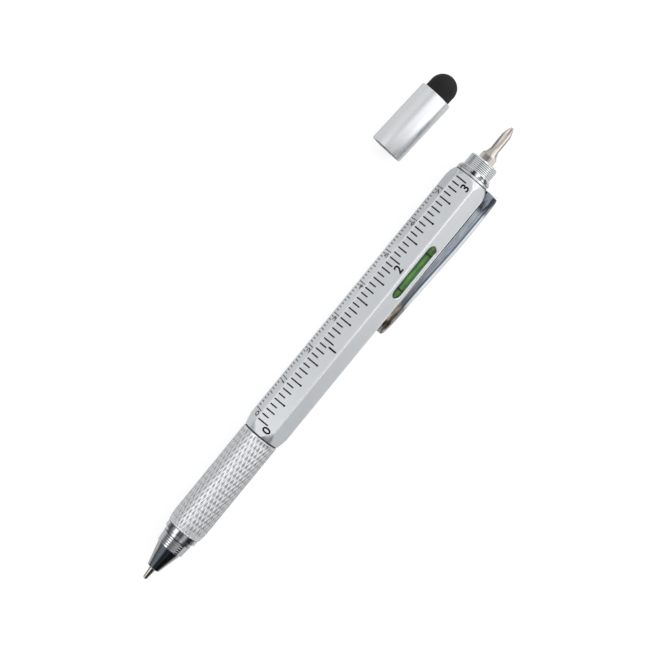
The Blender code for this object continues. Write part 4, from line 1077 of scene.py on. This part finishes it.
def make_grip():
    start, end = reach_along("grip_tube")

    def radius_at(along):
        share = min(1.0, (along - start) / GRIP_SHOULDER)
        return GRIP_FRONT_RADIUS + (GRIP_RADIUS - GRIP_FRONT_RADIUS) * math.sin(share * math.pi / 2)

    inner = GRIP_RADIUS - GRIP_WALL
    rows = [(along, radius_at(along)) for along in steps_between(start, end - GRIP_EDGE, KNURL_ROW)]
    rows[0] = (start, GRIP_FRONT_RADIUS - GRIP_EDGE)
    rows.insert(1, (start + GRIP_EDGE, radius_at(start + GRIP_EDGE)))
    rows += [(end, GRIP_RADIUS - GRIP_EDGE), (end, inner), (start, inner)]
    mesh = mesh_of(turned(rows, GRIP_COLUMNS), "grip")
    grip = piece_of("knurled_grip", mesh, FINISHES["knurled_aluminium"])
    grown(
        grip, RELIEF, Start=start + GRIP_EDGE, End=end - KNURL_RIM, Inside=inner + GRIP_EDGE,
        Depth=KNURL_DEPTH, Period=KNURL_PERIOD, Starts=KNURL_STARTS, Crossed=1.0, Crest=KNURL_CREST,
        Fade=GRIP_EDGE * 2, Material=FINISHES["knurled_aluminium"],
    )
    grip.data.transform(PEN_PLACE)
    return seated(grip, "grip", "knurled_aluminium", "grip_tube")


def make_nose():
    start, end = reach_along("nose_cone")
    band = start + NOSE_CONE_LENGTH
    neck = band + NOSE_BAND_LENGTH
    ring = neck + NOSE_NECK_LENGTH
    ring_end = reach_along("grip_tube")[0] - NOSE_SEAT_GAP
    edge = NOSE_EDGE / 3
    front, rear = NOSE_BAND_RADII
    rows = [(start + NOSE_BORE_START, NOSE_BORE_RADIUS), (start + NOSE_MOUTH_LENGTH, NOSE_MOUTH_RADIUS)]
    rows += [(start, NOSE_MOUTH_RADIUS)]
    rows += arc((start + NOSE_EDGE, NOSE_END_RADIUS - NOSE_EDGE), NOSE_EDGE, 180, 90, NOSE_EDGE_STEPS)
    rows += [(band - edge, NOSE_CONE_RADIUS), (band, NOSE_CONE_RADIUS - edge), (band, front - edge)]
    for groove in range(NOSE_GROOVES):
        for share, depth in ((0, NOSE_GROOVE_DEPTH), (NOSE_GROOVE_SHARE, 0), (1 - NOSE_GROOVE_SHARE, 0)):
            along = (groove + share) / NOSE_GROOVES
            rows.append((band + NOSE_BAND_LENGTH * along, front + (rear - front) * along - depth))
    rows += [
        (neck, NOSE_NECK_RADIUS),
        (ring, NOSE_NECK_RADIUS),
        (ring, NOSE_RING_RADII[0] - edge),
        (ring + edge, NOSE_RING_RADII[0]),
        (ring_end - edge, NOSE_RING_RADII[1]),
        (ring_end, NOSE_RING_RADII[1] - edge),
        (ring_end, NOSE_SPIGOT_RADIUS),
        (end, NOSE_SPIGOT_RADIUS),
        (end, NOSE_BORE_RADIUS),
    ]
    mesh = mesh_of(turned(rows, FINE_SIDES), "nose", FINE_EDGE)
    nose = piece_of("turned_nose", mesh, NOSE_CHROME, PEN_PLACE)
    return seated(nose, "grip", "chrome", "nose_cone")


# Threaded stud with its collar and hexagonal socket

def hexagon_reach(angle):
    """Radius of the hexagonal bore at an angle from the pen's Y axis."""
    offset = (angle - HEXAGON_TURN - math.pi / 2) % (math.pi / 3)
    return (BIT_ACROSS_FLATS / 2 + BIT_GAP) / math.cos(min(offset, math.pi / 3 - offset))


def make_stud():
    start, end = reach_along("bit_socket")
    stud = end - STUD_LENGTH
    collar = stud - COLLAR_LENGTH
    rows = [(start, SOCKET_SPIGOT_RADIUS), (collar, SOCKET_SPIGOT_RADIUS)]
    rows += [(collar, COLLAR_RADIUS - COLLAR_EDGE), (collar + COLLAR_EDGE, COLLAR_RADIUS)]
    for step in range(1, COLLAR_STEPS + 1):
        share = 1 - step / COLLAR_STEPS
        rows.append((
            stud - COLLAR_LENGTH * COLLAR_ROUND_SHARE * share,
            COLLAR_TOP_RADIUS + (COLLAR_RADIUS - COLLAR_TOP_RADIUS) * math.sin(share * math.pi / 2),
        ))
    rows += [(stud, COLLAR_TOP_RADIUS - STUD_SEAM), (stud, STUD_RADIUS)]
    rows += [(along, STUD_RADIUS) for along in steps_between(stud, end - STUD_CHAMFER, THREAD_ROW)[1:]]
    rows += [(end, STUD_RADIUS - STUD_CHAMFER), (end, hexagon_reach)]
    rows += [(start + SOCKET_BORE_AHEAD, hexagon_reach)]
    mesh = mesh_of(turned(rows, STUD_SIDES, flat_ends=True), "socket")
    made = piece_of("threaded_socket", mesh, THREADED_CHROME)
    grown(
        made, RELIEF, Start=stud + THREAD_AHEAD, End=end, Inside=THREAD_INSIDE, Depth=THREAD_DEPTH,
        Period=THREAD_PITCH, Starts=1.0, Crossed=0.0, Crest=1.0, Fade=THREAD_PITCH / 3,
        Material=THREADED_CHROME,
    )
    made.data.transform(PEN_PLACE)
    return seated(made, "barrel", "chrome", "bit_socket")


# Cap and stylus tip

def cap_frame():
    """Place of the cap's mouth, with X along the cap, and the cap's length and radius."""
    across = Vector((0.0, 0.0, 1.0)).cross(CAP_ALONG)
    points = [vert.co for vert in frame["nodes"]["cap_tube"].data.vertices]
    along = [point.dot(CAP_ALONG) for point in points]
    aside = [point.dot(across) for point in points]
    up = [point.z for point in points]
    centre = (max(aside) + min(aside)) / 2
    height = (max(up) + min(up)) / 2
    origin = CAP_ALONG * min(along) + across * centre + Vector((0.0, 0.0, height))
    place = Matrix.Translation(origin) @ CAP_ALONG.to_track_quat("X", "Z").to_matrix().to_4x4()
    return place, max(along) - min(along), (max(up) - min(up)) / 2


def make_cap():
    place, length, radius = cap_frame()
    rows = [*CAP_BORE, *arc((CAP_RIM, radius - CAP_RIM), CAP_RIM, 180, 90, CAP_RIM_STEPS)]
    rows += arc((length - CAP_EDGE, radius - CAP_EDGE), CAP_EDGE, 90, 0, CAP_EDGE_STEPS)
    rows += [(length, CAP_SEAT_RADIUS + CAP_SEAT_EDGE), (length - CAP_SEAT_EDGE, CAP_SEAT_RADIUS), *CAP_SEAT]
    mesh = mesh_of(turned(rows, FINE_SIDES), "cap")
    cap = piece_of("stylus_cap", mesh, FINISHES["satin_silver"], place)
    seated(cap, "cap", "satin_silver", "cap_tube")
    centre = length + DOME_REACH - DOME_RADIUS
    rows = [*DOME_HOLLOW, *arc((centre, 0.0), DOME_INNER_RADIUS, 90, DOME_POLE_ANGLE, DOME_INNER_STEPS)]
    inner_end = len(rows)
    rows += arc((centre, 0.0), DOME_RADIUS, DOME_POLE_ANGLE, 90, DOME_STEPS)
    rows += [(DOME_START, DOME_RADIUS)]
    dome = turned(rows, PLAIN_SIDES)
    close_pole(dome, inner_end * PLAIN_SIDES, PLAIN_SIDES)
    tip = piece_of("stylus_tip", mesh_of(dome, "dome"), FINISHES["black_rubber"], place)
    return seated(tip, "cap", "black_rubber", "stylus_dome")


def close_pole(shape, first, sides):
    """Replace the faces that join the inner and outer pole rings by a cap on each ring."""
    shape.verts.ensure_lookup_table()
    outer = [shape.verts[first + side] for side in range(sides)]
    inner = [shape.verts[first - sides + side] for side in range(sides)]
    joined = [face for face in outer[0].link_faces if inner[0] in face.verts]
    for side in range(sides):
        joined += [face for face in outer[side].link_faces if inner[side] in face.verts]
    bmesh.ops.delete(shape, geom=list(set(joined)), context="FACES_ONLY")
    shape.faces.new(outer)
    shape.faces.new(inner)


# Printed scales

def face_place(turn):
    """Place of a barrel face in the world: X along the pen, Z out of the face."""
    return PEN_PLACE @ Matrix.Rotation(turn, 4, "X") @ Matrix.Translation((0.0, 0.0, BARREL_FLAT))


def make_scale(name, turn, zero, edge, lengths, steps, material, **sizes):
    """The lines of one scale."""
    place = face_place(turn) @ Matrix.Translation((zero, edge, 0.0))
    lines = piece_of(name, bpy.data.meshes.new(name), material)
    sizes.update(zip(("Shortest", "Second", "Fourth", "Whole"), lengths))
    sizes.update(zip(("SecondStep", "FourthStep", "WholeStep"), map(float, steps)))
    grown(lines, TICKS, Height=2 * PRINT_HEIGHT, Material=material, **sizes)
    lines.data.transform(place)
    return seated(lines, "barrel", "black_plastic")


def digit_mesh(text, height):
    """One printed digit, centred, as a thin plate."""
    curve = bpy.data.curves.new("digit_" + text, "FONT")
    curve.body = text
    curve.align_x = "CENTER"
    curve.align_y = "CENTER"
    curve.resolution_u = DIGIT_CURVE_STEPS
    curve.offset = DIGIT_BOLDNESS
    curve.extrude = DIGIT_HALF_DEPTH
    writing = new_object("digit_" + text, curve)
    mesh = evaluated_mesh(writing)
    bpy.data.objects.remove(writing)
    low = [min(vert.co[axis] for vert in mesh.vertices) for axis in range(2)]
    high = [max(vert.co[axis] for vert in mesh.vertices) for axis in range(2)]
    scale = height / (high[1] - low[1])
    mesh.transform(Matrix.Translation((-(low[0] + high[0]) / 2, -(low[1] + high[1]) / 2, 0.0)))
    mesh.transform(Matrix.Diagonal((scale * DIGIT_WIDENING, scale, 2 * PRINT_HEIGHT, 1.0)))
    return mesh


def make_digits(name, turn, places, across, height, material):
    """The digits of one scale, from 0 up, at their places along the pen."""
    shape = bmesh.new()
    for number, along in enumerate(places):
        mesh = digit_mesh(str(number), height)
        mesh.transform(Matrix.Translation((along, across, 0.0)))
        shape.from_mesh(mesh)
    made = piece_of(name, mesh_of(shape, name), material, face_place(turn))
    return seated(made, "barrel", "black_plastic")


def make_print():
    barrel_start = reach_along("barrel_shell")[0]
    zero = barrel_start + INCH_ZERO_AHEAD
    make_scale(
        "inch_lines", 0.0, zero, INCH_EDGE, INCH_LENGTHS, INCH_STEPS, PRINT_INK,
        Count=INCH_TICKS, Pitch=INCH / INCH_PARTS, Width=TICK_WIDTH, DotRadius=INCH_DOT_RADIUS,
    )
    places = [zero + INCH * inch - INCH_DIGIT_BACK for inch in range(INCH_DIGITS)]
    across = INCH_EDGE - INCH_LENGTHS[3] - INCH_DIGIT_PAST
    make_digits("inch_digits", 0.0, places, across, INCH_DIGIT_HEIGHT, PRINT_INK)
    zero = barrel_start + CM_ZERO_AHEAD
    make_scale(
        "centimetre_lines", -LEVEL_TURN, zero, CM_EDGE, CM_LENGTHS, CM_STEPS, FADED_INK,
        Count=CM_TICKS, Pitch=MILLIMETRE, Width=CM_TICK_WIDTH, DotRadius=0.0,
    )
    places = [zero + CENTIMETRE * centimetre - CM_DIGIT_BACK for centimetre in range(CM_DIGITS)]
    make_digits("centimetre_digits", -LEVEL_TURN, places, CM_DIGIT_ACROSS, CM_DIGIT_HEIGHT, FADED_INK)


# Level

def make_level():
    """The two lines round the vial."""
    start, end = reach_along("vial_tube")
    middle = (start + end) / 2
    place = PEN_PLACE @ Matrix.Rotation(LEVEL_TURN, 4, "X") @ Matrix.Translation((0.0, 0.0, VIAL_OFFSET))
    shape = bmesh.new()
    for side in (-1, 1):
        line = middle + side * LEVEL_LINE_APART / 2
        first, last = line - LEVEL_LINE_WIDTH / 2, line + LEVEL_LINE_WIDTH / 2
        outer = VIAL_RADIUS + PRINT_HEIGHT
        inner = VIAL_RADIUS - PRINT_HEIGHT
        ring = turned([(first, inner), (last, inner), (last, outer), (first, outer)], PLAIN_SIDES)
        mesh = bpy.data.meshes.new("level_line")
        ring.to_mesh(mesh)
        ring.free()
        shape.from_mesh(mesh)
    lines = piece_of("level_lines", mesh_of(shape, "level_lines"), PRINT_INK, place)
    seated(lines, "barrel", "black_plastic")


# Clip

def even_step(value, low, high):
    """0 below low, 1 above high, and an even curve between."""
    share = min(1.0, max(0.0, (value - low) / (high - low)))
    return share * share * (3 - 2 * share)


def settle_clip(clip):
    """Flatten the clip's foot half a little, and draw the open edges of its walls down to the barrel."""
    outward = Matrix.Rotation(LEVEL_TURN * 2 - PEN_TURN, 3, "X") @ Vector((0.0, 0.0, 1.0))
    barrel_end = reach_along("barrel_shell")[1]
    for vert in clip.data.vertices:
        along = vert.co.x - PEN_START_X
        at_head = even_step(along, barrel_end - CLIP_HEAD_START, barrel_end - CLIP_HEAD_END)
        above = (vert.co - TWIST).dot(outward) - BARREL_FLAT
        flatter = even_step(along, *CLIP_TOE_END) * (1 - even_step(along, *CLIP_FLATTER_END)) * CLIP_FLATTER
        vert.co -= outward * above * flatter
        above -= above * flatter
        if above < CLIP_CLOSING_REACH:
            closing = CLIP_CLOSING + CLIP_HEAD_CLOSING * at_head
            vert.co -= outward * closing * (1 - above / CLIP_CLOSING_REACH)


# Stage

def make_floor():
    """Pale floor that shows white around the shadow."""
    mesh = bpy.data.meshes.new("floor")
    half = FLOOR_SIZE / 2
    corners = [(-half, -half, 0), (half, -half, 0), (half, half, 0), (-half, half, 0)]
    mesh.from_pydata(corners, [], [(0, 1, 2, 3)])
    material = bpy.data.materials.new("pale_floor")
    tree = empty_tree(material)
    path = tree.add("ShaderNodeLightPath", output="Is Camera Ray")
    glossy = path.out("Is Glossy Ray") * GLOSS_SEES_WHITE
    seen = (path + glossy + path.out("Is Transmission Ray")).math("MINIMUM", 1.0)
    pale = tree.add("ShaderNodeBsdfDiffuse", {"Color": grey(FLOOR_GREY)})
    white = tree.add("ShaderNodeEmission", {"Color": grey(1.0), "Strength": FLOOR_WHITE})
    mixed = tree.add("ShaderNodeMixShader", {0: seen * FLOOR_WHITE_SHARE, 1: pale, 2: white})
    tree.add("ShaderNodeOutputMaterial", {"Surface": mixed})
    material.cycles.emission_sampling = "NONE"
    mesh.materials.append(material)
    new_object("floor", mesh)


def make_sky():
    """Soft box over the clip's side, a window over the nose, and darkness past the tip."""
    world = bpy.data.worlds.new("studio")
    tree = empty_tree(world)
    direction = tree.add("ShaderNodeTexCoord", output="Generated")
    x, y, z = tree.split(direction)
    turn = (y * -1).math("ARCTAN2", z)
    arches = (SKY_AT_CAP, SKY_AT_GRIP, SKY_AT_NOSE, SKY_PAST_NOSE)
    cap, grip, nose, past = (tree.by_turn(turn, rows, SKY_PEAK) * SKY_PEAK for rows in arches)
    at_grip = tree.smooth(x * -1, *SKY_GRIP_FADE)
    at_nose = tree.smooth(x * -1, *SKY_NOSE_FADE)
    past_nose = tree.smooth(x * -1, *SKY_PAST_FADE)
    level = cap + at_grip * (grip - cap)
    level = level + at_nose * (nose - level)
    near_ground = 1 - tree.smooth(z, *SKY_GROUND_FADE)
    past = past + near_ground * (SKY_NEAR_GROUND - past)
    level = level + past_nose * (past - level)
    path = tree.add("ShaderNodeLightPath", output="Is Camera Ray")
    shown = path + (1 - path) * level
    tint = tree.blend(past_nose * (1 - near_ground), grey(1.0), BLUE_SHADE)
    light = tree.add("ShaderNodeBackground", {"Color": tint, "Strength": shown})
    tree.add("ShaderNodeOutputWorld", {"Surface": light})
    bpy.context.scene.world = world


def make_lamp():
    """Large soft lamp above the clip's side."""
    light = bpy.data.lights.new("soft_box", "AREA")
    light.shape = "RECTANGLE"
    light.size = LAMP_SIZE * LAMP_WIDER
    light.size_y = LAMP_SIZE
    light.energy = LAMP_POWER
    lamp = new_object("soft_box", light)
    lean = math.radians(LAMP_LEAN_DEGREES)
    lamp.location = (0.0, -LAMP_DISTANCE * math.sin(lean), LAMP_DISTANCE * math.cos(lean))
    lamp.rotation_euler = (lean, 0.0, 0.0)
    lamp.visible_glossy = False


def make_camera():
    lens = bpy.data.cameras.new("camera")
    lens.lens = CAMERA_LENS
    lens.sensor_width = SENSOR_WIDTH
    camera = new_object("camera", lens)
    camera.location = CAMERA_PLACE
    camera.rotation_euler = [math.radians(angle) for angle in CAMERA_TURN_DEGREES]
    bpy.context.scene.camera = camera


def main():
    for node, item in frame["nodes"].items():
        item.data.materials.clear()
        item.data.materials.append(FINISHES[slot_of(node)])
    make_grip()
    make_nose()
    make_stud()
    make_cap()
    smooth_copy("barrel_shell", "hexagonal_barrel", "barrel", BARREL_EDGE)
    settle_clip(smooth_copy("clip_arm", "spring_clip", "clip", material=SPRING_CHROME))
    smooth_copy("clip_ring", "clip_plate", "barrel")
    smooth_copy("screwdriver_bit", "cross_point_bit", "bit", material=BIT_NICKEL)
    smooth_copy("refill_tip", "writing_point", "refill", material=POINT_NICKEL)
    smooth_copy("refill_ball", "writing_ball", "refill")
    smooth_copy("vial_tube", "level_glass", "barrel")
    smooth_copy("vial_liquid", "level_liquid", "barrel")
    smooth_copy("level_lens", "level_window", "barrel", LENS_EDGE, TINTED_LENS)
    make_print()
    make_level()
    make_floor()
    make_sky()
    make_lamp()
    make_camera()
    bpy.context.scene.view_settings.view_transform = "Standard"


main()
